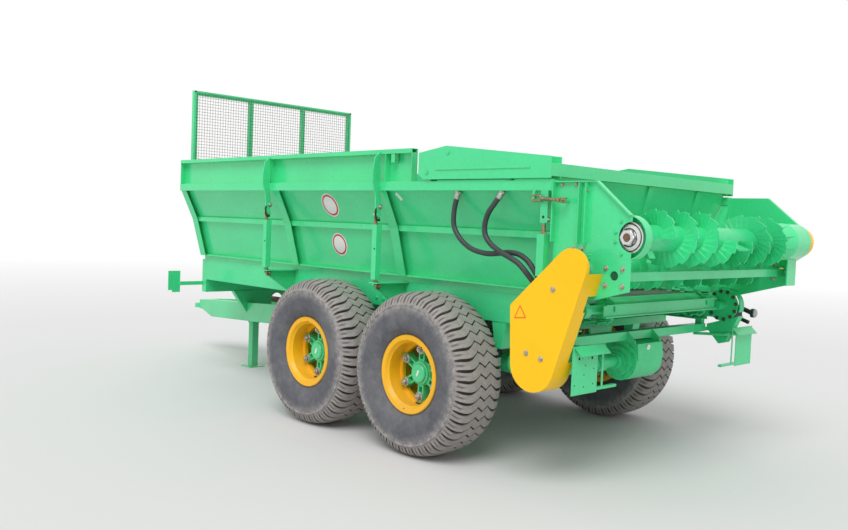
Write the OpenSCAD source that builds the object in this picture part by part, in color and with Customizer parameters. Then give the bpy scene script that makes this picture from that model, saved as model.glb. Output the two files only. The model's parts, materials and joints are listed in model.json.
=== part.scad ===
// Tandem-axle manure spreader with a V-shaped hopper, a lifting rear gate and two cross augers.
// X runs backwards from the hitch eye, Y to the machine's right, Z up from the eye.
// Heights are measured from the ground, and on_ground() lowers them into the eye's frame.

/* [Overall] */
// Height of the hitch eye above the ground
eye_h = 480; // [450:5:520]
// Hitch eye to the middle of the tandem
tandem_x = 4250; // [4150:10:4400]
// Middle of the tandem to the hopper's front wall
front_l = 2760; // [2700:10:2850]
// Middle of the tandem to the rear end of the side walls
rear_l = 1540; // [1520:5:1600]

/* [Wheels] */
// Radius of a tyre out to its lugs
tyre_r = 535; // [520:1:545]
// Width of a tyre
tyre_w = 410; // [390:2:420]
// Radius of the tyre's bead seat
bead_r = 229; // [220:1:235]
// Radius of the rim's flange
rim_r = 257; // [250:1:265]
// Depth of the tread grooves
groove_d = 16; // [8:1:20]
// Lugs round one shoulder of a tyre
lug_count = 36; // [20:1:40]
// Distance between the two axles
axle_gap = 1100; // [1085:5:1140]
// Centre of the machine to the middle of a tyre
track_y = 1045; // [1040:1:1055]
// Radius of an axle's spindle
spindle_r = 35; // [30:1:38]
// Side of the square axle beam
axle_s = 100; // [90:2:110]
// Width of a leaf spring
spring_w = 75; // [60:1:80]
// Half length of a leaf spring
spring_l = 430; // [400:5:450]
// Rise of a leaf spring's ends above its middle
spring_rise = 70; // [50:1:90]

/* [Hopper] */
// Top of the floor
floor_h = 1098; // [1090:1:1105]
// Foot of the side walls
foot_h = 1130; // [1120:2:1140]
// Bend in the side walls, at the middle rail
knee_h = 1470; // [1440:5:1500]
// Underside of the top rail
rail_h = 1725; // [1700:5:1740]
// Half width of the walls at their foot
foot_y = 800; // [790:2:805]
// Half width of the walls at the bend
knee_y = 893; // [880:1:905]
// Half width of the hopper over its top rails
rail_y = 1074; // [1066:1:1085]
// Side of the square top rail
rail_s = 60; // [50:1:66]
// Height of the middle rail
mid_rail_h = 40; // [30:1:50]
// Thickness of the wall sheets
sheet_t = 5; // [4:0.5:8]
// Thickness of the stiffening ribs
rib_t = 6; // [4:1:10]
// Depth of the stiffening ribs on the walls
rib_d = 46; // [30:1:60]
// Thickness of the floor plate
floor_t = 8; // [6:1:10]
// Top of the extension boards
board_h = 2005; // [1960:5:2040]
// Rear end of the extension boards, behind the tandem
board_end = 370; // [340:5:400]
// Top of the front guard
guard_h = 2665; // [2500:5:2700]
// Side of the square guard posts
post_s = 40; // [30:1:50]
// Distance between the guard mesh's wires
mesh_pitch = 75; // [50:1:100]

/* [Chassis] */
// Outer half width over the chassis spars
spar_y = 800; // [790:2:805]
// Width of a spar's flanges
spar_w = 80; // [60:1:90]
// Underside of the spars
spar_low_h = 900; // [890:2:910]
// Thickness of the spars' steel
spar_t = 8; // [6:1:12]
// Height of the cross members
cross_s = 70; // [60:1:76]
// Height of the drawbar's legs
leg_h = 180; // [150:2:200]
// Width of the drawbar's legs
leg_w = 90; // [70:1:100]
// Radius of the hitch eye's bore
eye_bore_r = 25; // [20:0.5:30]
// Outer radius of the hitch eye
eye_r = 55; // [50:1:65]
// Thickness of the hitch eye
eye_t = 46; // [40:1:60]
// Side of the square jack leg
jack_s = 70; // [60:1:76]
// Side of the jack's foot plate
foot_s = 170; // [140:2:180]
// Radius of the jack's crank handle
crank_r = 110; // [80:1:120]

/* [Augers] */
// Radius of the upper auger over its teeth
upper_r = 165; // [150:1:168]
// Radius of the lower auger over its teeth
lower_r = 130; // [120:1:135]
// Radius of the augers' core tubes
core_r = 74; // [65:1:80]
// Pitch of the auger flights
pitch = 240; // [200:5:260]
// Thickness of the flights
flight_t = 8; // [6:0.5:10]
// Teeth round one turn of a flight
teeth = 12; // [10:1:14]
// Depth of a tooth's step
tooth_d = 14; // [8:1:20]
// Upper auger's axis behind the side walls' end
upper_x = 485; // [480:1:495]
// Upper auger's axis above the ground
upper_h = 1478; // [1472:1:1490]
// Lower auger's axis behind the side walls' end
lower_x = 210; // [205:1:215]
// Lower auger's axis above the conveyor shafts
lower_rise = 255; // [250:1:262]
// Radius of the auger shafts
shaft_r = 30; // [25:1:35]
// Centre of the machine to the outer face of a cheek plate
cheek_y = 1070; // [1064:1:1076]
// Thickness of the cheek plates
cheek_t = 8; // [6:1:10]
// Width of the cheek plates' outward flanges
cheek_flange = 34; // [30:1:40]

/* [Conveyor] */
// Rear conveyor shaft behind the side walls' end
conv_x = 30; // [20:1:36]
// Conveyor shafts above the ground
conv_h = 1030; // [1026:1:1034]
// Radius of the chain's path round a shaft
conv_r = 80; // [76:1:82]
// Half length of a slat
slat_y = 670; // [640:2:690]
// Distance between slats
slat_gap = 400; // [330:5:450]

/* [Gate] */
// Gate's hinge pin behind the tandem
pivot_x = 530; // [520:2:540]
// Gate's hinge pin above the ground
pivot_h = 1842; // [1838:1:1850]
// Underside of the gate's cross beam
beam_h = 1808; // [1804:1:1816]
// Height of the gate's cross beam
beam_s = 74; // [60:1:80]
// Lower edge of the gate's plate above the ground
gate_low_h = 1215; // [1205:1:1260]
// Outer radius of a gate cylinder's barrel
barrel_r = 29; // [24:0.5:30]
// Radius of a gate cylinder's rod
rod_r = 15; // [12:0.5:17]

/* [Drive] */
// Drive shafts above the ground
drive_h = 680; // [670:2:690]
// Radius of the gearbox's round casing
gearbox_r = 128; // [120:1:132]
// Radius of the power take-off shaft's end
pto_r = 17.5; // [15:0.5:20]

/* [Hidden] */
$fn = 48;

green = [0.22, 0.78, 0.45];
yellow = [1.0, 0.76, 0.1];
rubber = [0.25, 0.25, 0.25];
steel = [0.7, 0.7, 0.7];

// Running clearance of a shaft in its bore, and the gap between faces of different bodies
run_gap = 0.05;
free_gap = 0.3;

front_x = tandem_x - front_l;
rear_x = tandem_x + rear_l;
spar_front_x = front_x - 40;
spar_top_h = floor_h - floor_t;

module on_ground() translate([0, 0, -eye_h]) children();
module both_sides() {
    children();
    mirror([0, 1, 0]) children();
}
// A box from its low corner to its high corner
module block(low, high) translate(low) cube(high - low);
// A round bar along X, Y or Z through a point
module bar_x(r, x0, x1, y, z) translate([x0, y, z]) rotate([0, 90, 0]) cylinder(r = r, h = x1 - x0);
module bar_y(r, y0, y1, x, z) translate([x, y0, z]) rotate([-90, 0, 0]) cylinder(r = r, h = y1 - y0);
module bar_z(r, z0, z1, x, y) translate([x, y, z0]) cylinder(r = r, h = z1 - z0);
// An outline in X and Z, drawn as a plate from y0 to y1
module plate_y(y0, y1) translate([0, y1, 0]) rotate([90, 0, 0]) linear_extrude(y1 - y0) children();
// An outline in Y and Z, drawn as a plate from x0 to x1
module plate_x(x0, x1) translate([x0, 0, 0]) rotate([90, 0, 90]) linear_extrude(x1 - x0) children();

// Chassis

// Springs: leaves from the longest to the shortest, as shares of the half length
leaf_shares = [1, 0.86, 0.68, 0.5, 0.32];
leaf_t = 12;
axle_low = tyre_r - axle_s / 2;
spring_seat_h = axle_low + axle_s + 10;
spring_y = spar_y - spar_w / 2 - 10;
spring_bend_r = (spring_l * spring_l + spring_rise * spring_rise) / (2 * spring_rise);
leaf_stack = leaf_t * len(leaf_shares);
spring_top_h = spring_seat_h + leaf_stack + spring_rise;
hanger_w = spring_w + 16;
hanger_d = axle_gap / 2 + spring_l - 30;
rocker_pin_r = 24;
rocker_pin_h = spring_top_h + 60;
rocker_l = axle_gap / 2 - spring_l + 40;
module hanger(x) plate_y(spring_y - hanger_w / 2, spring_y + hanger_w / 2) polygon([
    [x - 60, spar_low_h + 1], [x + 60, spar_low_h + 1], [x + 28, spring_top_h + free_gap],
    [x - 28, spring_top_h + free_gap]
]);
module rocker_bracket() difference() {
    for (y = [spring_y - hanger_w / 2, spring_y + hanger_w / 2 - 8]) plate_y(y, y + 8) polygon([
        [tandem_x - 110, spar_low_h + 1], [tandem_x + 110, spar_low_h + 1],
        [tandem_x + 50, rocker_pin_h - 55], [tandem_x - 50, rocker_pin_h - 55]
    ]);
    bar_y(rocker_pin_r + run_gap, spring_y - hanger_w, spring_y + hanger_w, tandem_x, rocker_pin_h);
}
module spars() color(green) on_ground() both_sides() {
    difference() {
        block([spar_front_x, spar_y - spar_w, spar_low_h], [rear_x, spar_y, spar_top_h]);
        block([spar_front_x - 1, spar_y - spar_w - 1, spar_low_h + spar_t],
              [rear_x + 1, spar_y - spar_t, spar_top_h - spar_t]);
    }
    hanger(tandem_x - hanger_d);
    hanger(tandem_x + hanger_d);
    rocker_bracket();
}

// Cross members between the conveyor's two runs, measured from the tandem
cross_at = [-2100, -1270, -450, 400, 1200];
cross_in_y = spar_y - spar_t;
cross_low_h = spar_top_h - cross_s;
front_beam_h = 120;
front_beam_w = 70;
rear_beam_h = 55;
rear_beam_top = spar_low_h - 30;
// Plates that carry the gearbox under the rear beam: near faces from the middle
lug_plate_t = 12;
gearbox_lug_at = [-230, 63];
// Low cross members under the spars, with the drive shaft's bearing plates, measured from the tandem
low_cross_at = [-1270, 1180];
bearing_plate_t = 16;
module shaft_plate(x) plate_x(x - bearing_plate_t / 2, x + bearing_plate_t / 2) difference() {
    polygon([[-130, spar_low_h - 50], [130, spar_low_h - 50], [62, drive_h - 60], [-62, drive_h - 60]]);
    translate([0, drive_h]) circle(drive_shaft_r + run_gap);
}
module cross_members() color(green) on_ground() {
    for (x = cross_at)
        block([tandem_x + x - 30, -cross_in_y, cross_low_h],
              [tandem_x + x + 30, cross_in_y, spar_top_h - spar_t]);
    for (x = low_cross_at) {
        block([tandem_x + x - 30, -spar_y, spar_low_h - 50], [tandem_x + x + 30, spar_y, spar_low_h]);
        shaft_plate(tandem_x + x);
    }
    block([spar_front_x, -spar_y, spar_low_h - front_beam_h],
          [spar_front_x + front_beam_w, spar_y, spar_low_h]);
    block([rear_x - 60, -spar_y + 20, rear_beam_top - rear_beam_h], [rear_x, spar_y - 20, rear_beam_top]);
    both_sides() block([rear_x - 60, spar_y - 60, rear_beam_top], [rear_x - 10, spar_y - 20, spar_low_h]);
    for (y = gearbox_lug_at) plate_y(y, y + lug_plate_t) polygon([
        [rear_x - 1, rear_beam_top], [rear_x - 1, rear_beam_top - rear_beam_h],
        [rear_x + 60, rear_beam_top - rear_beam_h]
    ]);
}

// Struts and their outriggers, measured from the tandem
strut_at = [-1300, 50];
strut_y = rail_y + 6;
outrigger_top_h = 1090;
module outrigger_outline() polygon([
    [spar_y, outrigger_top_h], [strut_y + 20, outrigger_top_h], [strut_y + 20, outrigger_top_h - 22],
    [spar_y + 60, spar_low_h + 10], [spar_y, spar_low_h + 10]
]);
module outriggers() color(green) on_ground() both_sides()
    for (x = strut_at) {
        plate_x(tandem_x + x - 6, tandem_x + x + 6) outrigger_outline();
        block([tandem_x + x - 45, spar_y, outrigger_top_h - 8],
              [tandem_x + x + 45, strut_y + 20, outrigger_top_h]);
    }

// Drawbar: two legs that spread from the nose, a V-shaped plate under the front beam

nose_x = 240;
nose_y = 62;
saddle_x = tandem_x + low_cross_at[0];
leg_end_x = saddle_x + 40;
plate_x0 = spar_front_x + front_beam_w;
leg_low_h = 390;
leg_spread = atan((300 - nose_y) / (plate_x0 - nose_x));
leg_rise = 4;
leg_taper_l = 320;
leg_taper_h = 80;
saddle_y = nose_y + (saddle_x - nose_x) * tan(leg_spread);
saddle_h = leg_low_h + leg_h + (saddle_x - nose_x) * tan(leg_rise);
flange_w = 45;
// A leg runs back from the nose: its underside tapers up at the front
module leg() translate([nose_x, nose_y, leg_low_h]) rotate([0, 0, leg_spread]) rotate([0, -leg_rise, 0])
    translate([0, -leg_w / 2, 0]) rotate([90, 0, 0]) mirror([0, 0, 1]) linear_extrude(leg_w) polygon([
        [0, leg_taper_h], [leg_taper_l, 0], [(leg_end_x - nose_x) / cos(leg_spread), 0],
        [(leg_end_x - nose_x) / cos(leg_spread), leg_h], [0, leg_h]
    ]);
v_top_y = 500;
v_low_y = 300;
v_low_h = 500;
v_top_h = spar_low_h - front_beam_h;
module drawbar() color(green) on_ground() {
    both_sides() {
        leg();
        block([saddle_x - 30, saddle_y - leg_w / 2, saddle_h - 60],
              [saddle_x + 30, saddle_y + leg_w / 2, spar_low_h - 50]);
        plate_x(plate_x0 - flange_w, plate_x0 + 10) polygon([
            [v_top_y, v_top_h], [v_low_y, v_low_h], [v_low_y - 10, v_low_h], [v_top_y - 10, v_top_h]
        ]);
    }
    plate_x(plate_x0, plate_x0 + 10) difference() {
        polygon([[-v_top_y, v_top_h], [v_top_y, v_top_h], [v_low_y, v_low_h], [-v_low_y, v_low_h]]);
        translate([0, drive_h]) circle(70);
    }
    block([nose_x - 100, -nose_y - 20, leg_low_h + leg_taper_h - 10],
          [nose_x + 120, nose_y + 20, leg_low_h + leg_h - 10]);
}

module hitch_eye() color(green) {
    difference() {
        union() {
            translate([0, 0, -eye_t / 2]) cylinder(r = eye_r, h = eye_t);
            translate([0, -30, -eye_t / 2]) cube([nose_x - 100, 60, eye_t]);
        }
        translate([0, 0, -eye_t]) cylinder(r = eye_bore_r, h = 2 * eye_t);
        for (y = [-1, 1]) translate([eye_r + 20, y * 42, -eye_t]) cylinder(r = 20, h = 2 * eye_t);
    }
}

// Jack

jack_x = spar_front_x - 50;
jack_y = 178;
sleeve_t = 6;
sleeve_low_h = 440;
sleeve_top_h = 860;
jack_lift = 250;
module jack_sleeve() color(green) on_ground() {
    difference() {
        translate([jack_x, -jack_y, sleeve_low_h])
            linear_extrude(sleeve_top_h - sleeve_low_h)
                square(jack_s + 2 * (sleeve_t + free_gap), center = true);
        translate([jack_x, -jack_y, sleeve_low_h - 1])
            linear_extrude(sleeve_top_h - sleeve_low_h - sleeve_t)
                square(jack_s + 2 * free_gap, center = true);
    }
    block([jack_x + jack_s / 2 + sleeve_t + free_gap - 1, -jack_y - 32, v_low_h + 40],
          [plate_x0, -jack_y + 32, v_low_h + 230]);
    bar_z(30, sleeve_top_h - 1, sleeve_top_h + 50, jack_x, -jack_y);
    bar_x(10, jack_x - 75, jack_x, -jack_y, sleeve_top_h + 28);
    bar_z(8, sleeve_top_h + 28 - crank_r, sleeve_top_h + 28, jack_x - 68, -jack_y);
    bar_x(12, jack_x - 150, jack_x - 62, -jack_y, sleeve_top_h + 28 - crank_r);
}
module jack_leg() color(green) on_ground() translate([jack_x, -jack_y, 0]) {
    translate([0, 0, 4]) linear_extrude(sleeve_top_h - jack_lift - 40) square(jack_s, center = true);
    linear_extrude(8) square(foot_s, center = true);
}

// Hopper

module wall_sheet() plate_x(front_x, rear_x) polygon([
    [foot_y - sheet_t, spar_top_h], [foot_y, spar_top_h], [foot_y, foot_h], [knee_y, knee_h],
    [rail_y - rail_s + 10, rail_h], [rail_y - rail_s + 10 - sheet_t, rail_h],
    [knee_y - sheet_t, knee_h], [foot_y - sheet_t, foot_h]
]);
// Channel ribs outside the walls, measured from the tandem
rib_flange = 85;
rib_at = [-front_l, -1270, 20, rear_l - rib_flange];
rib_top_y = rail_y - 14;
module rib_section(d0, top_y0) polygon([
    [foot_y + d0, foot_h], [foot_y + rib_d, foot_h], [knee_y + rib_d, knee_h], [rib_top_y, rail_h],
    [top_y0, rail_h], [knee_y + d0, knee_h]
]);
module wall_rib(x) {
    plate_x(x, x + rib_t) rib_section(-1, rail_y - rail_s + 9);
    plate_x(x, x + rib_flange) rib_section(rib_d - rib_t, rib_top_y - rib_t);
}
low_slope = (knee_y - foot_y) / (knee_h - foot_h);
high_slope = (rail_y - rail_s + 10 - knee_y) / (rail_h - knee_h);
module wall() {
    wall_sheet();
    difference() {
        block([front_x, rail_y - rail_s, rail_h], [rear_x, rail_y, rail_h + rail_s]);
        block([front_x - 1, rail_y - rail_s + 4, rail_h + 4], [rear_x + 1, rail_y - 4, rail_h + rail_s - 4]);
    }
    plate_x(front_x, rear_x) polygon([
        [knee_y - mid_rail_h / 2 * low_slope - 1, knee_h - mid_rail_h / 2], [knee_y - 1, knee_h],
        [knee_y + mid_rail_h / 2 * high_slope - 1, knee_h + mid_rail_h / 2],
        [knee_y + 27, knee_h + mid_rail_h / 2], [knee_y + 27, knee_h - mid_rail_h / 2]
    ]);
    block([front_x, foot_y - 1, foot_h], [rear_x, foot_y + 36, foot_h + 10]);
    for (x = rib_at) wall_rib(tandem_x + x);
}
module wall_right() color(green) on_ground() wall();
module wall_left() color(green) on_ground() mirror([0, 1, 0]) wall();

module floor_plate() color(green) on_ground()
    block([conv_front_x, -foot_y + sheet_t, spar_top_h], [rear_x, foot_y - sheet_t, floor_h]);

board_t = 4;
board_y = rail_y - 50;
board_tube_h = 30;
module front_wall() color(green) on_ground() {
    plate_x(front_x, front_x + sheet_t) polygon([
        [foot_y - sheet_t, floor_h + 40], [knee_y - sheet_t, knee_h], [rail_y - rail_s, rail_h],
        [rail_y - rail_s, board_h], [-rail_y + rail_s, board_h], [-rail_y + rail_s, rail_h],
        [-knee_y + sheet_t, knee_h], [-foot_y + sheet_t, floor_h + 40]
    ]);
    block([front_x - 30, -rail_y + rail_s, board_h - 40], [front_x, rail_y - rail_s, board_h]);
    for (y = [-600, 0, 600]) block([front_x - 30, y - 30, floor_h + 60], [front_x + 1, y + 30, board_h - 39]);
}

// Extension boards: a sheet set in from the rail, a foot flange, a hollow top tube and ribs between them,
// the ribs measured from the tandem
board_rib_at = [-front_l, -1310, 100, board_end - rib_t];
board_end_x = tandem_x + board_end;
module extension_boards() color(green) on_ground() both_sides() {
    block([front_x, board_y - board_t, rail_h + rail_s], [board_end_x, board_y, board_h]);
    block([front_x, board_y - 1, rail_h + rail_s], [board_end_x, board_y + 30, rail_h + rail_s + 5]);
    difference() {
        block([front_x, board_y - board_t, board_h - board_tube_h], [board_end_x, rail_y, board_h]);
        block([front_x - 1, board_y + 4, board_h - board_tube_h + 4],
              [board_end_x + 1, rail_y - 4, board_h - 4]);
    }
    for (x = board_rib_at)
        block([tandem_x + x, board_y - 1, rail_h + rail_s],
              [tandem_x + x + rib_t, rail_y - 2, board_h - board_tube_h + 1]);
}

// Front guard: posts carried on the front wall, a top rail and a mesh

guard_y = 935;
guard_x0 = front_x - 30 - post_s;
post_at = [-guard_y + post_s, -guard_y / 3 + post_s / 2, guard_y / 3 + post_s / 2, guard_y];
module front_guard() color(green) on_ground() {
    for (y = post_at) block([guard_x0, y - post_s, rail_h], [guard_x0 + post_s, y, guard_h - post_s]);
    block([guard_x0, -guard_y, guard_h - post_s], [guard_x0 + post_s, guard_y, guard_h]);
}
mesh_wire = 6;
mesh_nx = floor(2 * guard_y / mesh_pitch);
mesh_nz = floor((guard_h - board_h) / mesh_pitch);
mesh_hole_y = (2 * guard_y - mesh_wire) / mesh_nx - mesh_wire;
mesh_hole_z = (guard_h - board_h - mesh_wire) / mesh_nz - mesh_wire;
module guard_mesh() color(steel) on_ground()
    plate_x(guard_x0 + post_s, guard_x0 + post_s + 4) difference() {
        translate([-guard_y, board_h]) square([2 * guard_y, guard_h - board_h]);
        for (i = [0:mesh_nx - 1], k = [0:mesh_nz - 1])
            translate([-guard_y + mesh_wire + i * (mesh_hole_y + mesh_wire),
                       board_h + mesh_wire + k * (mesh_hole_z + mesh_wire)])
                square([mesh_hole_y, mesh_hole_z]);
    }

// Struts: curved brackets over the top rail, turnbuckle tubes and their lower eyes

strut_tube_s = 46;
strut_eye_h = knee_h + 85;
strut_plate_t = 12;
rear_strut = 1492;
rear_strut_foot_h = 1235;
// A bracket goes from the extension's tube round the rail to the eye bolt
module strut_bracket() plate_x(-strut_plate_t / 2, strut_plate_t / 2) polygon([
    [rail_y, board_h - 12], [rail_y + 46, board_h - 52], [rail_y + 62, rail_h + 140],
    [rail_y + 62, rail_h + 60], [strut_y + 26, rail_h - 40], [strut_y + 20, strut_eye_h - 26],
    [strut_y - 20, strut_eye_h - 26], [strut_y - 22, rail_h - 60], [rail_y, rail_h - 1]
]);
module strut_tube(low, high) block([-strut_tube_s / 2, strut_y - strut_tube_s / 2, low],
                                   [strut_tube_s / 2, strut_y + strut_tube_s / 2, high]);
module wall_struts() color(green) on_ground() both_sides() {
    for (x = strut_at) translate([tandem_x + x, 0, 0]) {
        strut_bracket();
        bar_x(17, -strut_plate_t / 2 - 24, strut_plate_t / 2 + 12, strut_y, strut_eye_h);
        strut_tube(outrigger_top_h + 20, knee_h + 20);
        bar_z(11, knee_h + 19, strut_eye_h, -18, strut_y);
        bar_z(11, outrigger_top_h, outrigger_top_h + 21, 0, strut_y);
    }
    // Rear strut under the rail's end
    translate([tandem_x + rear_strut, 0, 0]) {
        block([-26, rail_y - 12, rail_h - 185], [26, rail_y, rail_h]);
        bar_z(11, rail_h - 250, rail_h - 184, 0, rail_y - 6);
        block([-26, rail_y - 32, rear_strut_foot_h + 10], [26, rail_y + 20, rail_h - 249]);
        block([-26, foot_y + (rear_strut_foot_h + 11 - foot_h) * low_slope + rib_d, rear_strut_foot_h],
              [26, rail_y + 20, rear_strut_foot_h + 11]);
    }
}

// Cheeks

upper_axis_x = rear_x + upper_x;
lower_axis_x = rear_x + lower_x;
lower_h = conv_h + lower_rise;
cup_r = 121;
bell_r = 125;
bearing_r = 88;
low_bearing_r = 60;
cheek_end_x = rear_x + 515;
cheek_low_h = foot_h - 88;
cheek_top_h = rail_h + 55;
cheek_in = 294;
cheek_slant_h = upper_h + 120;
cheek_tip_h = lower_h - 95;
panel_y = cheek_y - cheek_flange;
cup_y = panel_y - 56;
lip_t = 8;
seam_low_h = lower_h + 150;
module cheek_outline() polygon([
    [rear_x, cheek_top_h], [rear_x + cheek_in, cheek_top_h], [cheek_end_x, cheek_slant_h],
    [cheek_end_x, cheek_tip_h], [rear_x, cheek_low_h]
]);
// Outward lip along the top and the slanted edge, and the two flanges of the seam
module cheek_flanges() {
    slant = [cheek_end_x - rear_x - cheek_in, cheek_slant_h - cheek_top_h];
    shift = lip_t / norm(slant) * [slant[1], -slant[0]];
    plate_y(panel_y - 1, cheek_y - 14) {
        polygon([
            [rear_x, cheek_top_h], [rear_x + cheek_in, cheek_top_h],
            [rear_x + cheek_in, cheek_top_h] + shift, [rear_x, cheek_top_h - lip_t]
        ]);
        polygon([
            [rear_x + cheek_in, cheek_top_h], [rear_x + cheek_in, cheek_top_h] + slant,
            [rear_x + cheek_in, cheek_top_h] + slant + shift, [rear_x + cheek_in, cheek_top_h] + shift
        ]);
    }
    for (x = [rear_x + 182, rear_x + 226])
        block([x, panel_y - 1, seam_low_h], [x + 6, cheek_y, cheek_top_h - 12]);
}
module closing_plate() plate_x(rear_x, rear_x + cheek_t) polygon([
    [foot_y, cheek_low_h], [panel_y, cheek_low_h], [panel_y, seam_low_h], [cheek_y, seam_low_h],
    [cheek_y, cheek_top_h], [rail_y - rail_s, cheek_top_h], [rail_y - rail_s, rail_h], [knee_y, knee_h],
    [foot_y, foot_h]
]);
// A cheek with its bores for the upper auger's bearing or cup, the lower bearing and a spare bearing seat
module cheek(upper_bore) {
    difference() {
        union() {
            plate_y(panel_y - cheek_t, panel_y) cheek_outline();
            cheek_flanges();
            closing_plate();
        }
        bar_y(upper_bore, panel_y - cheek_t - 1, panel_y + 1, upper_axis_x, upper_h);
        bar_y(low_bearing_r, panel_y - cheek_t - 1, panel_y + 1, lower_axis_x, lower_h);
        bar_y(26, panel_y - cheek_t - 1, panel_y + 1, crossbar_x, crossbar_h + 6);
        for (x = [-53, 53], z = [-48, 44])
            bar_y(7, panel_y - cheek_t - 1, panel_y + 1, crossbar_x + x, crossbar_h + z);
    }
    children();
}
// The left cheek carries a thin cup whose floor holds the bearing
cup_t = 6;
module cup() translate([upper_axis_x, 0, upper_h]) rotate([-90, 0, 0]) rotate_extrude() polygon([
    [bearing_r, cup_y], [cup_r, cup_y], [cup_r, panel_y], [cup_r - cup_t, panel_y],
    [cup_r - cup_t, cup_y + cup_t], [bearing_r, cup_y + cup_t]
]);
module cheek_left() color(green) on_ground() mirror([0, 1, 0]) cheek(cup_r - cup_t / 2) cup();

// The right cheek carries a bell with a ribbed cone towards the auger, and an inward flange at its rear edge
bell_t = 6;
bell_ribs = 8;
cone_r = 80;
cone_y = 710;
drum_y = 830;
rear_flange_y = 900;
module bell() translate([upper_axis_x, 0, upper_h]) {
    rotate([-90, 0, 0]) rotate_extrude() polygon([
        [shaft_r + 12, cone_y], [cone_r, cone_y], [bell_r, drum_y], [bell_r, panel_y - 1],
        [bell_r - bell_t, panel_y - 1], [bell_r - bell_t, drum_y + 2], [cone_r - bell_t, cone_y + bell_t],
        [shaft_r + 12, cone_y + bell_t]
    ]);
    for (i = [0:bell_ribs - 1]) rotate([0, 360 / bell_ribs * (i + 0.5), 0]) bell_rib();
}
module bell_rib() rotate([0, 0, 90]) translate([0, 0, -4]) linear_extrude(8) polygon([
    [cone_y, -cone_r + 2], [cone_y, -cone_r - 18], [drum_y - 10, -bell_r + 5]
]);
module cheek_right() color(green) on_ground() difference() {
    cheek(bearing_r) {
        bell();
        block([cheek_end_x - lip_t, rear_flange_y, cheek_tip_h - 12],
              [cheek_end_x, panel_y - 1, upper_h - bell_r + 6]);
    }
    bar_y(drive_r + 3, spar_y - 1, spar_y + 120, drive_x, drive_z);
}

// Conveyor drive at the right-hand rear corner, under the lower auger
drive_r = 112;
drive_in = 100;
drive_gap = 50;
drive_x = lower_axis_x - drive_in;
drive_z = lower_h - sqrt(pow(lower_r + drive_r + drive_gap, 2) - drive_in * drive_in);

crossbar_x = upper_axis_x - 68;
crossbar_gap = 25;
crossbar_s = 50;
crossbar_h = upper_h - upper_r - crossbar_gap - crossbar_s / 2;
module crossbar() color(green) on_ground()
    block([crossbar_x - crossbar_s / 2, -panel_y + cheek_t, crossbar_h - crossbar_s / 2],
          [crossbar_x + crossbar_s / 2, panel_y - cheek_t, crossbar_h + crossbar_s / 2]);

// Bearings: round inserts in the cheeks, bored for the auger shafts
module bearing(r, x, z, y0, y1) difference() {
    bar_y(r - 0.1, y0, y1, x, z);
    bar_y(shaft_r + run_gap, y0 - 1, y1 + 1, x, z);
}
module auger_bearings() color(steel) on_ground() {
    mirror([0, 1, 0]) bearing(bearing_r, upper_axis_x, upper_h, cup_y - 5, cup_y + 27);
    bearing(bearing_r, upper_axis_x, upper_h, panel_y - 30, panel_y + 20);
    both_sides() bearing(low_bearing_r, lower_axis_x, lower_h, panel_y - 20, panel_y + 22);
}

// Augers: a core tube with a left-hand and a right-hand flight, whose rims are stepped like a saw

flight_start = 90;
tooth_a = 360 / teeth;
drop_a = 3;
// Steps of one tooth: angle from its start and the share of its depth that the rim lies inside
tooth_steps = [[0, 1], [tooth_a / 2, 0.35], [tooth_a - drop_a, 0]];
step_n = len(tooth_steps);
// The four corners of a flight's section at a step
function flight_ring(i, r) =
    let (step = tooth_steps[i % step_n], a = floor(i / step_n) * tooth_a + step[0],
         y = flight_start + pitch * a / 360, r_out = r - tooth_d * step[1], r_in = core_r - 8)
    [for (p = [[r_in, 0], [r_out, 0], [r_out, flight_t], [r_in, flight_t]])
        [p[0] * cos(a), y + p[1], -p[0] * sin(a)]];
module flight(r, y_end) {
    n = floor((y_end - flight_t - flight_start) / pitch * teeth) * step_n;
    points = [for (i = [0:n]) each flight_ring(i, r)];
    sides = [for (i = [0:n - 1], k = [0:3])
        let (a = 4 * i + k, b = 4 * i + (k + 1) % 4)
        each [[a, b, b + 4], [a, b + 4, a + 4]]];
    caps = [[2, 1, 0], [3, 2, 0], [4 * n, 4 * n + 1, 4 * n + 2], [4 * n, 4 * n + 2, 4 * n + 3]];
    polyhedron(points, concat(caps, sides));
}
// Ends of the shaft, the core tube and the flights: left one, right one
module auger(r, x, z, shaft_ends, core_ends, flight_ends) translate([x, 0, z]) {
    bar_y(core_r, -core_ends[0], core_ends[1], 0, 0);
    bar_y(shaft_r, -shaft_ends[0], shaft_ends[1], 0, 0);
    mirror([0, 1, 0]) flight(r, flight_ends[0]);
    flight(r, flight_ends[1]);
    for (a = [20, 200]) rotate([0, a, 0]) block([core_r - 5, -70, -5], [r - 6, 70, 5]);
    children();
}
module upper_auger() color(green) on_ground()
    auger(upper_r, upper_axis_x, upper_h, [panel_y - 2, right_guard_y1 - 20], [cup_y - 10, cone_y - 10],
          [820, cone_y - 10])
        for (a = [60, 240]) rotate([0, a, 0]) block([core_r - 5, -910, -4], [core_r + 50, -850, 4]);
module lower_auger() color(green) on_ground()
    auger(lower_r, lower_axis_x, lower_h, [guard_y1 - 60, right_guard_y1 - 20], [cheek_y - 90, cheek_y - 90],
          [cheek_y - 125, cheek_y - 125]);

// Yellow chain guards outside the cheeks

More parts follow.
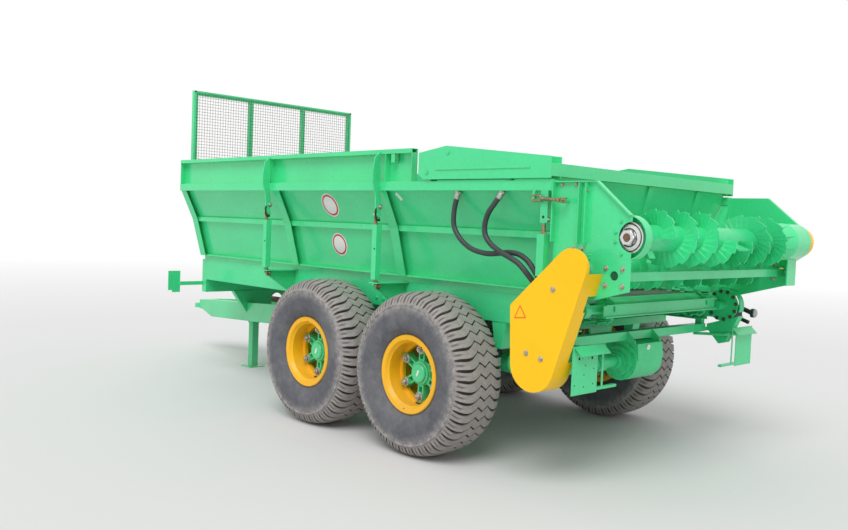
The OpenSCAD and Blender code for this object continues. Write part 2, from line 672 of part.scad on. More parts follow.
guard_y1 = cheek_y + 125;
guard_t = 3;
right_guard_y1 = panel_y + 92;
guard_low_x = rear_x + 7;
guard_low_h = drive_h + 62;
guard_edge_h = lower_h - 10;
notch_h = foot_h - 70;
module left_guard_outline(grow) hull() {
    translate([lower_axis_x + 36, lower_h + 18]) circle(106 + grow, $fn = 32);
    translate([rear_x - 135, cheek_low_h + 10]) circle(30 + grow, $fn = 32);
    translate([guard_low_x, guard_low_h]) circle(155 + grow, $fn = 32);
}
module right_guard_outline(grow) hull() {
    translate([upper_axis_x, upper_h]) circle(105 + grow, $fn = 32);
    translate([lower_axis_x, lower_h]) circle(105 + grow, $fn = 32);
}
module chain_guards() color(yellow) on_ground() {
    mirror([0, 1, 0]) difference() {
        plate_y(panel_y, guard_y1) left_guard_outline(0);
        plate_y(panel_y - 1, guard_y1 - guard_t) left_guard_outline(-guard_t);
        // The side wall is open over the cheek, notched under its edge and set back behind the lamp plate
        block([lower_axis_x - 30, panel_y - 1, guard_edge_h],
              [lower_axis_x + 200, guard_y1 - 25, lower_h + 200]);
        block([rear_x + 60, panel_y - 1, notch_h], [rear_x + 400, guard_y1 - 90, notch_h + 90]);
        block([lamp_x - 30, panel_y - 1, plate_low_h], [rear_x + 400, plate_out_y + 8, notch_h + 1]);
    }
    difference() {
        plate_y(panel_y, right_guard_y1) right_guard_outline(0);
        plate_y(panel_y - 1, right_guard_y1 - guard_t) right_guard_outline(-guard_t);
    }
}

// Drive line

gearbox_x = rear_x - 50;
gearbox_y = 230;
drive_shaft_r = 30;
box_y = 75;
box_top_h = gearbox_r - 10;
// Stepped hub on the gearbox's left side: radius, near end and far end from the middle
hub_steps = [[96, 229, 255], [66, 254, 275], [50, 274, 305], [36, 304, 420]];
module gearbox() color(green) on_ground() {
    translate([gearbox_x, 0, drive_h]) difference() {
        union() {
            bar_y(gearbox_r, -gearbox_y, box_y, 0, 0);
            for (s = hub_steps) bar_y(s[0], -s[2], -s[1], 0, 0);
            plate_y(-gearbox_y + 12, box_y) polygon([
                [-110, box_top_h], [125, box_top_h], [135, 20], [95, -80], [20, -gearbox_r], [-60, -115],
                [-110, -60]
            ]);
            bar_x(80, -gearbox_r - 60, 0, 0, 0);
            bar_x(100, -gearbox_r - 20, -60, 0, 0);
        }
        bar_y(cross_shaft_r + run_gap, -500, -gearbox_y, 0, 0);
        bar_x(drive_shaft_r + run_gap, -gearbox_r - 61, -gearbox_r + 20, 0, 0);
    }
    for (y = gearbox_lug_at) plate_y(y, y + lug_plate_t) polygon([
        [gearbox_x - 90, drive_h + box_top_h - 1], [gearbox_x + 110, drive_h + box_top_h - 1],
        [rear_x + 60, rear_beam_top - rear_beam_h], [rear_x - 60, rear_beam_top - rear_beam_h]
    ]);
}
pto_x = plate_x0 - 330;
module drive_shaft() color(steel) on_ground() {
    bar_x(drive_shaft_r, pto_x + 90, gearbox_x - gearbox_r + 18, 0, drive_h);
    bar_x(45, pto_x + 89, pto_x + 130, 0, drive_h);
    bar_x(pto_r, pto_x, pto_x + 91, 0, drive_h);
}
cross_shaft_r = 30;
module cross_shaft() color(steel) on_ground() {
    bar_y(cross_shaft_r, -guard_y1 + 40, -gearbox_y - 2, gearbox_x, drive_h);
    bar_y(52, -500, -424, gearbox_x, drive_h);
    bar_y(42, -cheek_y + 60, -498, gearbox_x, drive_h);
    bar_y(48, -cheek_y - 50, -cheek_y - 30, gearbox_x, drive_h);
}

// Conveyor: two chain loops, slats and the shafts they run over

conv_rear_x = rear_x + conv_x;
conv_front_x = front_x + 110;
chain_y = 560;
chain_t = 24;
link_pitch = 80;
// The chain is one loop of links that lie flat and on edge in turn: half width and half thickness of each
flat_link = [22, 7];
edge_link = [7, 11.7];
run_l = conv_rear_x - conv_front_x;
arc_l = PI * conv_r;
loop_l = 2 * run_l + 2 * arc_l;
link_n = 2 * floor(loop_l / link_pitch / 2);
link_l = loop_l / link_n;
link_fill = 0.48;
// The loop starts so that a flat link stands upright behind the rear shaft and carries a slat
rear_at = run_l + arc_l / 2;
loop_start = rear_at - (2 * floor(rear_at / link_l / 2) + 0.5) * link_l;
// Place and outward direction at a distance along the loop
function on_loop(at) =
    let (s = (at + loop_l) % loop_l)
    s < run_l ? [[conv_front_x + s, conv_h + conv_r], 90] :
    s < run_l + arc_l ? let (a = 90 - (s - run_l) / arc_l * 180)
        [[conv_rear_x + conv_r * cos(a), conv_h + conv_r * sin(a)], a] :
    s < 2 * run_l + arc_l ? [[conv_rear_x - (s - run_l - arc_l), conv_h - conv_r], -90] :
    let (a = -90 - (s - 2 * run_l - arc_l) / arc_l * 180)
        [[conv_front_x + conv_r * cos(a), conv_h + conv_r * sin(a)], a];
function link_ring(k, y) =
    let (i = floor(k / 2), end = k % 2,
         p = on_loop(loop_start + (i + 0.5 + (2 * end - 1) * link_fill) * link_l),
         size = i % 2 == 0 ? flat_link : edge_link)
    [for (c = [[-1, -1], [1, -1], [1, 1], [-1, 1]])
        [p[0][0] + c[1] * size[1] * cos(p[1]), y + c[0] * size[0], p[0][1] + c[1] * size[1] * sin(p[1])]];
module chain_loop(y) {
    rings = 2 * link_n;
    points = [for (k = [0:rings - 1]) each link_ring(k, y)];
    polyhedron(points, [for (k = [0:rings - 1], c = [0:3])
        let (a = 4 * k + c, b = 4 * k + (c + 1) % 4, a2 = (a + 4) % (4 * rings), b2 = (b + 4) % (4 * rings))
        each [[a, b2, b], [a, a2, b2]]]);
}
module conveyor_chains() color(green) on_ground() both_sides() chain_loop(chain_y);
slat_w = 80;
slat_t = 26;
slat_low = conv_h + conv_r + chain_t / 2;
// A slat is a channel with its open side outwards
module slat_section() polygon([
    [-slat_w / 2, 0], [slat_w / 2, 0], [slat_w / 2, slat_t], [slat_w / 2 - 8, slat_t], [slat_w / 2 - 8, 8],
    [-slat_w / 2 + 8, 8], [-slat_w / 2 + 8, slat_t], [-slat_w / 2, slat_t]
]);
module slat(x, z, turn) translate([x, 0, z]) rotate([0, turn, 0]) plate_y(-slat_y, slat_y) slat_section();
module conveyor_slats() color(green) on_ground() {
    for (x = [slat_gap / 2 : slat_gap : run_l - slat_w]) {
        slat(conv_front_x + x + slat_w / 2, slat_low, 0);
        slat(conv_front_x + x + slat_w / 2, 2 * conv_h - slat_low, 180);
    }
    link_a = link_fill * link_l / conv_r * 180 / PI;
    slat(conv_rear_x + (conv_r + flat_link[1]) * cos(link_a) + free_gap, conv_h, 90);
}
sprocket_r = (conv_r - chain_t / 2) * cos(link_pitch / conv_r * 90 / PI) - 0.5;
module conveyor_shafts() color(green) on_ground() for (x = [conv_front_x, conv_rear_x]) {
    bar_y(30, -spar_y + spar_t, spar_y - spar_t, x, conv_h);
    both_sides() bar_y(sprocket_r, chain_y - 10, chain_y + 10, x, conv_h);
    both_sides() bar_y(conv_r - 30, spar_y - 60, spar_y - spar_t, x, conv_h);
}
// Drive: a bolted flange, its casing with a sloping underside and a curved guard round its rear
drive_w = 72;
module conveyor_drive() color(green) on_ground() {
    bar_y(drive_r, spar_y + free_gap, spar_y + 14, drive_x, drive_z);
    block([rear_x - 80, spar_y, spar_low_h + 20], [drive_x, spar_y + 14, spar_low_h + 100]);
    bar_y(45, spar_y + 13, spar_y + drive_w + 14, drive_x, drive_z);
    bar_y(85, spar_y + 13, spar_y + drive_w, drive_x, drive_z);
    bar_y(31, spar_y - 90, spar_y + 1, drive_x, drive_z);
    plate_y(spar_y + 13, spar_y + drive_w) translate([drive_x, drive_z]) difference() {
        circle(drive_r + 15);
        circle(drive_r + 7);
        translate([-300, -300]) square([260, 600]);
        translate([-300, -300]) square([600, 260]);
    }
    plate_y(spar_y + free_gap, spar_y + drive_w) polygon([
        [rear_x, drive_z - 143], [drive_x + 125, drive_z - 66], [drive_x + 31, drive_z - 263],
        [drive_x - 16, drive_z - 276], [rear_x, drive_z - 175]
    ]);
}

// Lip at the floor's rear end, bent down round the conveyor's shaft between the chains
lip_y = chain_y - 30;
lip_r = floor_h - conv_h;
module floor_lip() color(green) on_ground() {
    block([rear_x, -lip_y, floor_h - 6], [conv_rear_x, lip_y, floor_h]);
    intersection() {
        difference() {
            bar_y(lip_r, -lip_y, lip_y, conv_rear_x, conv_h);
            bar_y(lip_r - 6, -lip_y - 1, lip_y + 1, conv_rear_x, conv_h);
        }
        block([conv_rear_x, -lip_y, conv_h + 10], [conv_rear_x + lip_r, lip_y, floor_h]);
    }
}

// Lamp brackets and marker lamps

lamp_x = rear_x + 206;
plate_in_y = 840;
plate_out_y = 1080;
plate_low_h = 585;
plate_top_h = 860;
visor_d = 45;
lamp_bar_h = rear_beam_top - rear_beam_h + 2;
module lamp_plate() {
    block([lamp_x - 4, plate_in_y, plate_low_h], [lamp_x, plate_out_y, plate_top_h]);
    plate_y(plate_in_y - 60, plate_out_y - 16) polygon([
        [lamp_x - 4, plate_top_h - 6], [lamp_x - 4, plate_top_h], [lamp_x + visor_d, plate_top_h - 45],
        [lamp_x + visor_d, plate_top_h - 51]
    ]);
}
module lamp_brackets() color(green) on_ground() {
    both_sides() {
        lamp_plate();
        block([lamp_x - 4, plate_in_y - 60, plate_low_h + 10], [lamp_x, plate_in_y - 44, plate_top_h - 1]);
        block([lamp_x - 24, plate_in_y - 200, plate_low_h + 10], [lamp_x, plate_in_y + 20, plate_low_h + 26]);
        block([rear_x - 20, plate_in_y + 40, lamp_bar_h], [lamp_x - 3, plate_in_y + 64, lamp_bar_h + 26]);
        block([rear_x - 20, spar_y - 20, lamp_bar_h], [rear_x - 1, plate_in_y + 64, lamp_bar_h + 26]);
        block([spar_front_x, spar_y, 845], [spar_front_x + 16, 1040, 880]);
        plate_x(spar_front_x - 4, spar_front_x) polygon([
            [1030, 980], [1150, 980], [1150, 800], [1110, 800], [1110, 780], [1030, 780]
        ]);
    }
}
// Right-hand marker lamps: a carrier on the conveyor's drive, two rubber arms and a lens
lamp_y = 1050;
lamp_arms = [[50, -20, 128, 17], [20, -98, 88, 14]];
module marker_lamps() color(rubber) on_ground() {
    block([drive_x + 8, spar_y + drive_w, drive_z - 110], [drive_x + 30, lamp_y, drive_z - 50]);
    block([drive_x + 8, lamp_y - 40, drive_z - 110], [drive_x + 30, lamp_y, drive_z - 5]);
    for (a = lamp_arms) translate([drive_x + 8, lamp_y - 20, drive_z + a[1]]) rotate([0, 108, 0])
        cylinder(r = a[3], h = a[2]);
    bar_x(32, drive_x + 110, drive_x + 128, lamp_y - 20, drive_z - 55);
}

// Running gear

hub_in_y = 860;
spindle_end_y = 1100;
backing_r = 150;
chamber_r = 80;
chamber_y = 600;
chamber_x = 330;
module axles() color(green) on_ground() for (d = [-1, 1]) {
    x = tandem_x + d * axle_gap / 2;
    block([x - axle_s / 2, -hub_in_y + 20, axle_low], [x + axle_s / 2, hub_in_y - 20, axle_low + axle_s]);
    both_sides() {
        bar_y(spindle_r, hub_in_y - 21, spindle_end_y, x, tyre_r);
        bar_y(backing_r, hub_in_y - 21, hub_in_y - 10, x, tyre_r);
        block([x - 55, spring_y - hanger_w / 2, axle_low + axle_s - 1],
              [x + 55, spring_y + hanger_w / 2, spring_seat_h]);
        // Brake chamber on its arm behind the axle
        block([x + axle_s / 2 - 1, chamber_y - 8, tyre_r + 10],
              [x + chamber_x + 1, chamber_y + 8, tyre_r + 45]);
        bar_x(chamber_r, x + chamber_x, x + chamber_x + 60, chamber_y, tyre_r + 90);
        bar_x(chamber_r + 10, x + chamber_x + 60, x + chamber_x + 72, chamber_y, tyre_r + 90);
        bar_x(chamber_r, x + chamber_x + 71, x + chamber_x + 125, chamber_y, tyre_r + 90);
    }
}
// A leaf: a slice of a ring whose centre is above the axle
module leaf(x, i) intersection() {
    zc = spring_seat_h + free_gap + leaf_stack + spring_bend_r;
    r0 = spring_bend_r + leaf_t * i;
    half = spring_l * leaf_shares[i];
    difference() {
        bar_y(r0 + leaf_t, spring_y - spring_w / 2, spring_y + spring_w / 2, x, zc, $fn = 240);
        bar_y(r0 - (i > 0 ? 0.5 : 0), spring_y - spring_w, spring_y + spring_w, x, zc, $fn = 240);
    }
    block([x - half, spring_y - spring_w, spring_seat_h - 20],
          [x + half, spring_y + spring_w, spring_top_h + 20]);
}
module leaf_springs() color(rubber) on_ground() both_sides() {
    for (d = [-1, 1], i = [0:len(leaf_shares) - 1]) leaf(tandem_x + d * axle_gap / 2, i);
    // Rocker that shares the load between the two springs
    plate_y(spring_y - spring_w / 2 + 8, spring_y + spring_w / 2 - 8) polygon([
        [tandem_x - rocker_l, spring_top_h + 2 * free_gap], [tandem_x - rocker_l, spring_top_h + 30],
        [tandem_x - 40, rocker_pin_h + 40], [tandem_x + 40, rocker_pin_h + 40],
        [tandem_x + rocker_l, spring_top_h + 30], [tandem_x + rocker_l, spring_top_h + 2 * free_gap],
        [tandem_x + rocker_l - 50, spring_top_h + 2 * free_gap], [tandem_x + 40, rocker_pin_h - 40],
        [tandem_x - 40, rocker_pin_h - 40], [tandem_x - rocker_l + 50, spring_top_h + 2 * free_gap]
    ]);
    bar_y(rocker_pin_r, spring_y - hanger_w / 2 - 10, spring_y + hanger_w / 2 + 10, tandem_x, rocker_pin_h);
}

// Wheels

rim_w = 330;
// A tyre is a hollow shell: its outer line runs from bead to bead, its inner line back again
tread_t = 28;
side_t = 16;
bead_w = rim_w / 2 - 12;
module tyre_profile() polygon([
    [bead_r + free_gap, -bead_w], [rim_r + 6, -bead_w], [rim_r + 34, -tyre_w / 2 + 14], [400, -tyre_w / 2],
    [tyre_r - 50, -tyre_w / 2 + 8], [tyre_r - 8, -tyre_w / 2 + 34], [tyre_r, -tyre_w / 2 + 70],
    [tyre_r, tyre_w / 2 - 70], [tyre_r - 8, tyre_w / 2 - 34], [tyre_r - 50, tyre_w / 2 - 8],
    [400, tyre_w / 2], [rim_r + 34, tyre_w / 2 - 14], [rim_r + 6, bead_w], [bead_r + free_gap, bead_w],
    [bead_r + free_gap, bead_w - 30], [rim_r + 40, tyre_w / 2 - 14 - side_t], [400, tyre_w / 2 - side_t],
    [tyre_r - tread_t - 30, tyre_w / 2 - 24], [tyre_r - tread_t, tyre_w / 2 - 70],
    [tyre_r - tread_t, -tyre_w / 2 + 70], [tyre_r - tread_t - 30, -tyre_w / 2 + 24],
    [400, -tyre_w / 2 + side_t], [rim_r + 40, -tyre_w / 2 + 14 + side_t], [bead_r + free_gap, -bead_w + 30]
]);
module at_wheel(x_side, y_side)
    translate([tandem_x + x_side * axle_gap / 2, y_side * track_y, tyre_r])
        mirror([0, y_side < 0 ? 1 : 0, 0]) rotate([-90, 0, 0]) children();
// Grooves cut the shoulders of the tread into lugs
groove_w = 26;
groove_lean = 35;
module shoulder_groove() translate([tyre_r - 16, 0, tyre_w / 2 - 38]) rotate([0, -groove_lean, 0])
    translate([-groove_d + 6, -groove_w / 2, -52]) cube([groove_d + 30, groove_w, 110]);
module tyre() difference() {
    rotate_extrude($fn = 96) tyre_profile();
    for (i = [0:lug_count - 1]) {
        rotate([0, 0, 360 / lug_count * i]) shoulder_groove();
        rotate([0, 0, 360 / lug_count * (i + 0.5)]) mirror([0, 0, 1]) shoulder_groove();
    }
}
// A rim: flange, bead seat and drop centre outside, a smooth barrel and the clamped ledge inside
barrel_in_r = bead_r - 24;
ledge_r = barrel_in_r - 23;
ledge_z = 40;
flange_z = rim_w / 2;
seat_z = bead_w + free_gap;
module rim() rotate_extrude($fn = 96) polygon([
    [rim_r, seat_z], [rim_r, flange_z - 5], [rim_r - 6, flange_z], [rim_r - 34, flange_z - 4],
    [barrel_in_r + 6, flange_z - 22], [barrel_in_r, flange_z - 28], [barrel_in_r, ledge_z + 2],
    [barrel_in_r - 2, ledge_z], [ledge_r, ledge_z], [ledge_r, ledge_z - 30], [barrel_in_r, ledge_z - 62],
    [barrel_in_r, -flange_z + 28], [barrel_in_r + 6, -flange_z + 22], [rim_r - 34, -flange_z + 4],
    [rim_r - 6, -flange_z], [rim_r, -flange_z + 5], [rim_r, -seat_z],
    [bead_r, -seat_z], [bead_r, -90], [bead_r - 14, -74], [bead_r - 14, 74], [bead_r, 90], [bead_r, seat_z]
]);

// A hub: turned body and cap, six arms, and on each arm a clamp and its bolt that hold the rim's ledge
hub_arms = 6;
hub_body_r = 84;
drum_r = 165;
cap_r = 62;
cap_z = 75;
arm_w = 54;
arm_z0 = -14;
arm_z1 = ledge_z + 2;
clamp_r0 = ledge_r - 46;
clamp_r1 = ledge_r + 14;
hub_bolt_r = ledge_r - 26;
module hub_body() rotate_extrude($fn = 64) polygon([
    [0, hub_in_y - track_y], [70, hub_in_y - track_y], [70, -84], [drum_r - 10, -84],
    [drum_r - 10, hub_in_y - track_y + 4], [drum_r, hub_in_y - track_y + 4], [drum_r, -70],
    [hub_body_r, -60], [hub_body_r, 34],
    [cap_r + 14, 44], [cap_r + 14, 56], [cap_r, 58], [cap_r, cap_z - 6], [cap_r - 6, cap_z], [0, cap_z]
]);
module hub_arm() difference() {
    union() {
        translate([hub_body_r - 30, -arm_w / 2, arm_z0])
            cube([ledge_r - 3.5 - hub_body_r + 30, arm_w, arm_z1 - arm_z0]);
        translate([clamp_r0, -20, ledge_z + free_gap]) cube([clamp_r1 - clamp_r0, 40, 12]);
        translate([hub_bolt_r, 0, ledge_z]) cylinder(r = 15, h = 26);
        translate([hub_bolt_r, 0, ledge_z]) cylinder(r = 9, h = 38);
    }
    translate([hub_body_r + 8, -arm_w / 2 + 12, arm_z0 + 18])
        cube([clamp_r0 - hub_body_r - 16, arm_w - 24, arm_z1 - arm_z0]);
}
module hub() difference() {
    union() {
        hub_body();
        for (i = [0:hub_arms - 1]) rotate([0, 0, 30 + 360 / hub_arms * i]) hub_arm();
    }
    translate([0, 0, hub_in_y - track_y - 1])
        cylinder(r = spindle_r + run_gap, h = spindle_end_y - hub_in_y + 3);
}
module tyre_front_left() color(rubber) on_ground() at_wheel(-1, -1) tyre();
module rim_front_left() color(yellow) on_ground() at_wheel(-1, -1) rim();
module hub_front_left() color(green) on_ground() at_wheel(-1, -1) hub();
module tyre_front_right() color(rubber) on_ground() at_wheel(-1, 1) tyre();
module rim_front_right() color(yellow) on_ground() at_wheel(-1, 1) rim();
module hub_front_right() color(green) on_ground() at_wheel(-1, 1) hub();
module tyre_rear_left() color(rubber) on_ground() at_wheel(1, -1) tyre();
module rim_rear_left() color(yellow) on_ground() at_wheel(1, -1) rim();
module hub_rear_left() color(green) on_ground() at_wheel(1, -1) hub();
module tyre_rear_right() color(rubber) on_ground() at_wheel(1, 1) tyre();
module rim_rear_right() color(yellow) on_ground() at_wheel(1, 1) rim();
module hub_rear_right() color(green) on_ground() at_wheel(1, 1) hub();

// Gate

pin_r = 14;
pin_x = 720;
pin_h = pivot_h + 126;
bracket_x = 1200;
rail_top_h = rail_h + rail_s;
bracket_h = rail_top_h + 27;
arm_t = 8;
arm_gap = 5;
arm_in_y = rail_y - 78;
arm_out_y = rail_y + arm_gap;
pivot = [tandem_x + pivot_x, pivot_h];
cyl_y = (arm_in_y + arm_out_y) / 2;
eye_half = 16;
arm_low_h = beam_h - 12;
arm_front_x = pivot[0] - 80;
arm_front_h = pin_h + 2;
arm_peak_x = tandem_x + 700;
arm_peak_h = pin_h + 40;
arm_rear_h = beam_h + 112;
module arm_outline() polygon([
    [pivot[0] - 30, arm_low_h], [arm_front_x, pivot_h - 12], [arm_front_x, arm_front_h],
    [arm_peak_x, arm_peak_h], [rear_x, arm_rear_h], [rear_x, arm_low_h]
]);
module arm_plate(y) difference() {
    plate_y(y, y + arm_t) arm_outline();
    bar_y(pin_r + run_gap, y - 1, y + arm_t + 1, pivot[0], pivot[1]);
}
// The hanging plate's half widths and heights, set in from the walls, and its lean
plate_gap = 12;
plate_t = 5;
plate_drop = beam_h - gate_low_h;
plate_lean = atan(140 / plate_drop);
low_wall_y = foot_y + (knee_y - foot_y) * (gate_low_h - foot_h) / (knee_h - foot_h);
plate_rows = [
    [rail_y - rail_s - plate_gap, 1], [rail_y - rail_s - sheet_t - plate_gap, rail_h - beam_h],
    [knee_y - sheet_t - plate_gap, knee_h - beam_h], [low_wall_y - sheet_t - plate_gap, -plate_drop]
];
gate_rib_at = [-620, 0, 620];
gate_rib_w = 60;
module hanging_plate() translate([rear_x - 32, 0, beam_h]) rotate([0, plate_lean, 0]) {
    plate_x(0, plate_t) polygon(concat(
        [for (r = plate_rows) [r[0], r[1] / cos(plate_lean)]],
        [for (i = [3:-1:0]) [-plate_rows[i][0], plate_rows[i][1] / cos(plate_lean)]]));
    for (y = gate_rib_at) block([plate_t - 1, y - gate_rib_w / 2, 20 - plate_drop / cos(plate_lean)],
                                [plate_t + 14, y + gate_rib_w / 2, -1]);
    block([-12, -plate_rows[3][0] + 6, 4 - plate_drop / cos(plate_lean)],
          [1, plate_rows[3][0] - 6, 40 - plate_drop / cos(plate_lean)]);
}
crease_h = beam_h + 52;
module gate() color(green) on_ground() {
    both_sides() {
        arm_plate(arm_in_y - arm_t);
        arm_plate(arm_out_y);
        // The pin is open in the middle, where the rod's eye sits
        for (y = [[arm_in_y - 4, cyl_y - eye_half - free_gap],
                  [cyl_y + eye_half + free_gap, arm_out_y + arm_t + 6]])
            bar_y(pin_r, y[0], y[1], tandem_x + pin_x, pin_h);
        // Top web between the arm plates, and the pressed crease along the outer one
        plate_y(arm_in_y - 1, arm_out_y + 1) polygon([
            [arm_front_x, arm_front_h - 6], [arm_front_x, arm_front_h], [arm_peak_x, arm_peak_h],
            [arm_peak_x, arm_peak_h - 6]
        ]);
        block([pivot[0] + 80, arm_out_y + arm_t - 1, crease_h - 5],
              [rear_x - 150, arm_out_y + arm_t + 5, crease_h + 5]);
    }
    difference() {
        block([rear_x - 60, -arm_out_y - 1, beam_h], [rear_x, arm_out_y + 1, beam_h + beam_s]);
        block([rear_x - 61, -arm_in_y + 20, beam_h + 6], [rear_x - 6, arm_in_y - 20, beam_h + beam_s - 6]);
    }
    hanging_plate();
}
// Lugs on the top rails that hold the gate's hinge pins and the cylinders' feet
lug_t = 8;
lug_gap = 5;
module gate_brackets() color(green) on_ground() both_sides() {
    for (y = [cyl_y - 8 - lug_gap - lug_t, cyl_y + 8 + lug_gap])
        block([tandem_x + bracket_x - 20, y, rail_top_h],
              [tandem_x + bracket_x + 20, y + lug_t, bracket_h + 20]);
    bar_y(pin_r, cyl_y - 24, cyl_y + 24, tandem_x + bracket_x, bracket_h);
    block([pivot[0] - 25, rail_y - rail_s, rail_top_h], [pivot[0] + 25, rail_y, pivot[1] + 25]);
    bar_y(pin_r, arm_in_y - arm_t - 4, arm_out_y + arm_t + 6, pivot[0], pivot[1]);
}

// Gate cylinders: from a bracket on the rail up to the gate's upper pin
cyl_len = sqrt(pow(bracket_x - pin_x, 2) + pow(pin_h - bracket_h, 2));
cyl_a = atan((pin_h - bracket_h) / (bracket_x - pin_x));
barrel_len = 380;
module along_cylinder()
    translate([tandem_x + bracket_x, cyl_y, bracket_h]) rotate([0, -90 + cyl_a, 0]) children();
module gate_barrels() color(steel) on_ground() both_sides() along_cylinder() difference() {
    union() {
        translate([0, 0, 36]) cylinder(r = barrel_r, h = barrel_len - 36);
        translate([-20, -8, 0]) cube([40, 16, 37]);
        rotate([90, 0, 0]) translate([0, 0, -8]) cylinder(r = 24, h = 16);
    }
    translate([0, 0, 60]) cylinder(r = rod_r + run_gap, h = barrel_len);
    rotate([90, 0, 0]) translate([0, 0, -31]) cylinder(r = pin_r + run_gap, h = 62);
}
module gate_rods() color(steel) on_ground() both_sides() along_cylinder() difference() {
    union() {
        translate([0, 0, 80]) cylinder(r = rod_r, h = cyl_len - 80);
        translate([0, 0, cyl_len]) rotate([90, 0, 0]) translate([0, 0, -eye_half])
            cylinder(r = 28, h = 2 * eye_half);
    }
    translate([0, 0, cyl_len]) rotate([90, 0, 0]) translate([0, 0, -eye_half - 1])
        cylinder(r = pin_r, h = 2 * eye_half + 2);
}

// Hydraulic hoses: each hangs from the rail and ends in the block behind the left chain guard
hose_r = 16.5;
hose_sides = 8;
front_hose = [
    [5036, -1046, 1725], [5026, -1046, 1690], [5008, -1046, 1630], [5000, -1046, 1560], [5008, -1046, 1500],
    [5040, -1046, 1450], [5090, -1046, 1405], [5160, -1046, 1368], [5240, -1046, 1348], [5320, -1046, 1342],
    [5400, -1046, 1350], [5480, -1046, 1358], [5550, -1046, 1350], [5610, -1046, 1322], [5655, -1046, 1280],
    [5684, -1038, 1238], [5708, -1022, 1200], [5730, -1004, 1165], [5740, -990, 1130]
];
rear_hose = [
    [5404, -1048, 1725], [5390, -1054, 1695], [5362, -1066, 1650], [5330, -1082, 1595], [5312, -1088, 1540],
    [5306, -1088, 1495], [5318, -1088, 1450], [5350, -1088, 1412], [5400, -1088, 1380], [5460, -1088, 1352],
    [5520, -1086, 1328], [5575, -1080, 1300], [5615, -1070, 1262], [5642, -1050, 1222], [5662, -1028, 1185],
    [5682, -1006, 1155], [5690, -990, 1130]
];
function unit(v) = v / norm(v);
function hose_ring(p, i) =
    let (d = unit(p[min(i + 1, len(p) - 1)] - p[max(i - 1, 0)]),
         u = unit(cross(d, [0, 1, 0])), v = cross(d, u),
         w = i == 0 || i == len(p) - 1)
    [for (k = [0:hose_sides - 1]) let (a = 360 / hose_sides * k, q = hose_r * (cos(a) * u + sin(a) * v))
        w ? [p[i][0] + q[0] / max(abs(d[2]), 0.5), p[i][1] + q[1], p[i][2]] : p[i] + q];
module hose(p) {
    n = len(p);
    points = [for (i = [0:n - 1]) each hose_ring(p, i)];
    polyhedron(points, concat(
        [for (k = [1:hose_sides - 2]) [0, k, k + 1]],
        [for (k = [1:hose_sides - 2])
            [(n - 1) * hose_sides, (n - 1) * hose_sides + k + 1, (n - 1) * hose_sides + k]],
        [for (i = [0:n - 2], k = [0:hose_sides - 1])
            let (a = i * hose_sides + k, b = i * hose_sides + (k + 1) % hose_sides)
            each [[a, a + hose_sides, b + hose_sides], [a, b + hose_sides, b]]]));
}
module hose_front() color(rubber) on_ground() hose(front_hose);
module hose_rear() color(rubber) on_ground() hose(rear_hose);
// Block on the wall's rear end that the hoses screw into
module hose_block() color(steel) on_ground() {
    block([5664, -1016, 1090], [rear_x, -964, 1130]);
    for (x = [5690, 5740]) bar_z(14, 1064, 1091, x, -990);
}

spars();
cross_members();
outriggers();
drawbar();
hitch_eye();
jack_sleeve();
jack_leg();
floor_plate();
wall_left();
wall_right();
front_wall();
extension_boards();
front_guard();
guard_mesh();
wall_struts();
cheek_left();
cheek_right();
crossbar();
auger_bearings();
chain_guards();
gearbox();
drive_shaft();
cross_shaft();
conveyor_chains();
conveyor_slats();
conveyor_shafts();
conveyor_drive();
floor_lip();
lamp_brackets();
marker_lamps();
axles();
leaf_springs();
gate_brackets();
gate();
gate_barrels();
gate_rods();
upper_auger();
lower_auger();
hose_front();
hose_rear();
hose_block();
tyre_front_left();
rim_front_left();
hub_front_left();
tyre_front_right();
rim_front_right();
hub_front_right();
tyre_rear_left();
rim_rear_left();
hub_rear_left();
tyre_rear_right();
rim_rear_right();
hub_rear_right();
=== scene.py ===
import json
import math

import bmesh
import bpy
from mathutils import Matrix, Vector


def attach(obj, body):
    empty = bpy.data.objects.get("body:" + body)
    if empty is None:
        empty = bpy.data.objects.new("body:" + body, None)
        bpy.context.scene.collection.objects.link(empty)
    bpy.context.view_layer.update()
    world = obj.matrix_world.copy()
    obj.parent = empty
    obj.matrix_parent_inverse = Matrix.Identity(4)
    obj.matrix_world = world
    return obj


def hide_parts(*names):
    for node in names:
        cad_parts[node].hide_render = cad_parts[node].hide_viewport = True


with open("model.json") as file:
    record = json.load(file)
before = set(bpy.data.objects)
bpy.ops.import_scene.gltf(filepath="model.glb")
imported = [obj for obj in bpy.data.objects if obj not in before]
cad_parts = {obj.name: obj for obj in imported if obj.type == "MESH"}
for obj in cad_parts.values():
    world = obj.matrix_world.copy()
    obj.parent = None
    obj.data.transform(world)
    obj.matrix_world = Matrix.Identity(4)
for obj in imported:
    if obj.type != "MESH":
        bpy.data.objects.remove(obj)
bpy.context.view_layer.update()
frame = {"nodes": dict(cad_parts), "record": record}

nodes = frame["nodes"]
slotOf = {part["node"]: part["material_slot"] for part in frame["record"]["subparts"]}
ground = -0.48  # the hitch eye is the origin
tau = 2 * math.pi
print("frame loaded:", len(nodes), "nodes")


def up(height):  # height above the ground to z
    return height + ground


def addObject(name, data):
    obj = bpy.data.objects.new(name, data)
    bpy.context.scene.collection.objects.link(obj)
    return obj


# Camera: at the photograph's place, lens and lean
camera = {"lens": 36.62, "at": (8.8278, -4.9756, 1.0381), "forward": (-0.7195, 0.6927, -0.0494), "roll": 2.185}


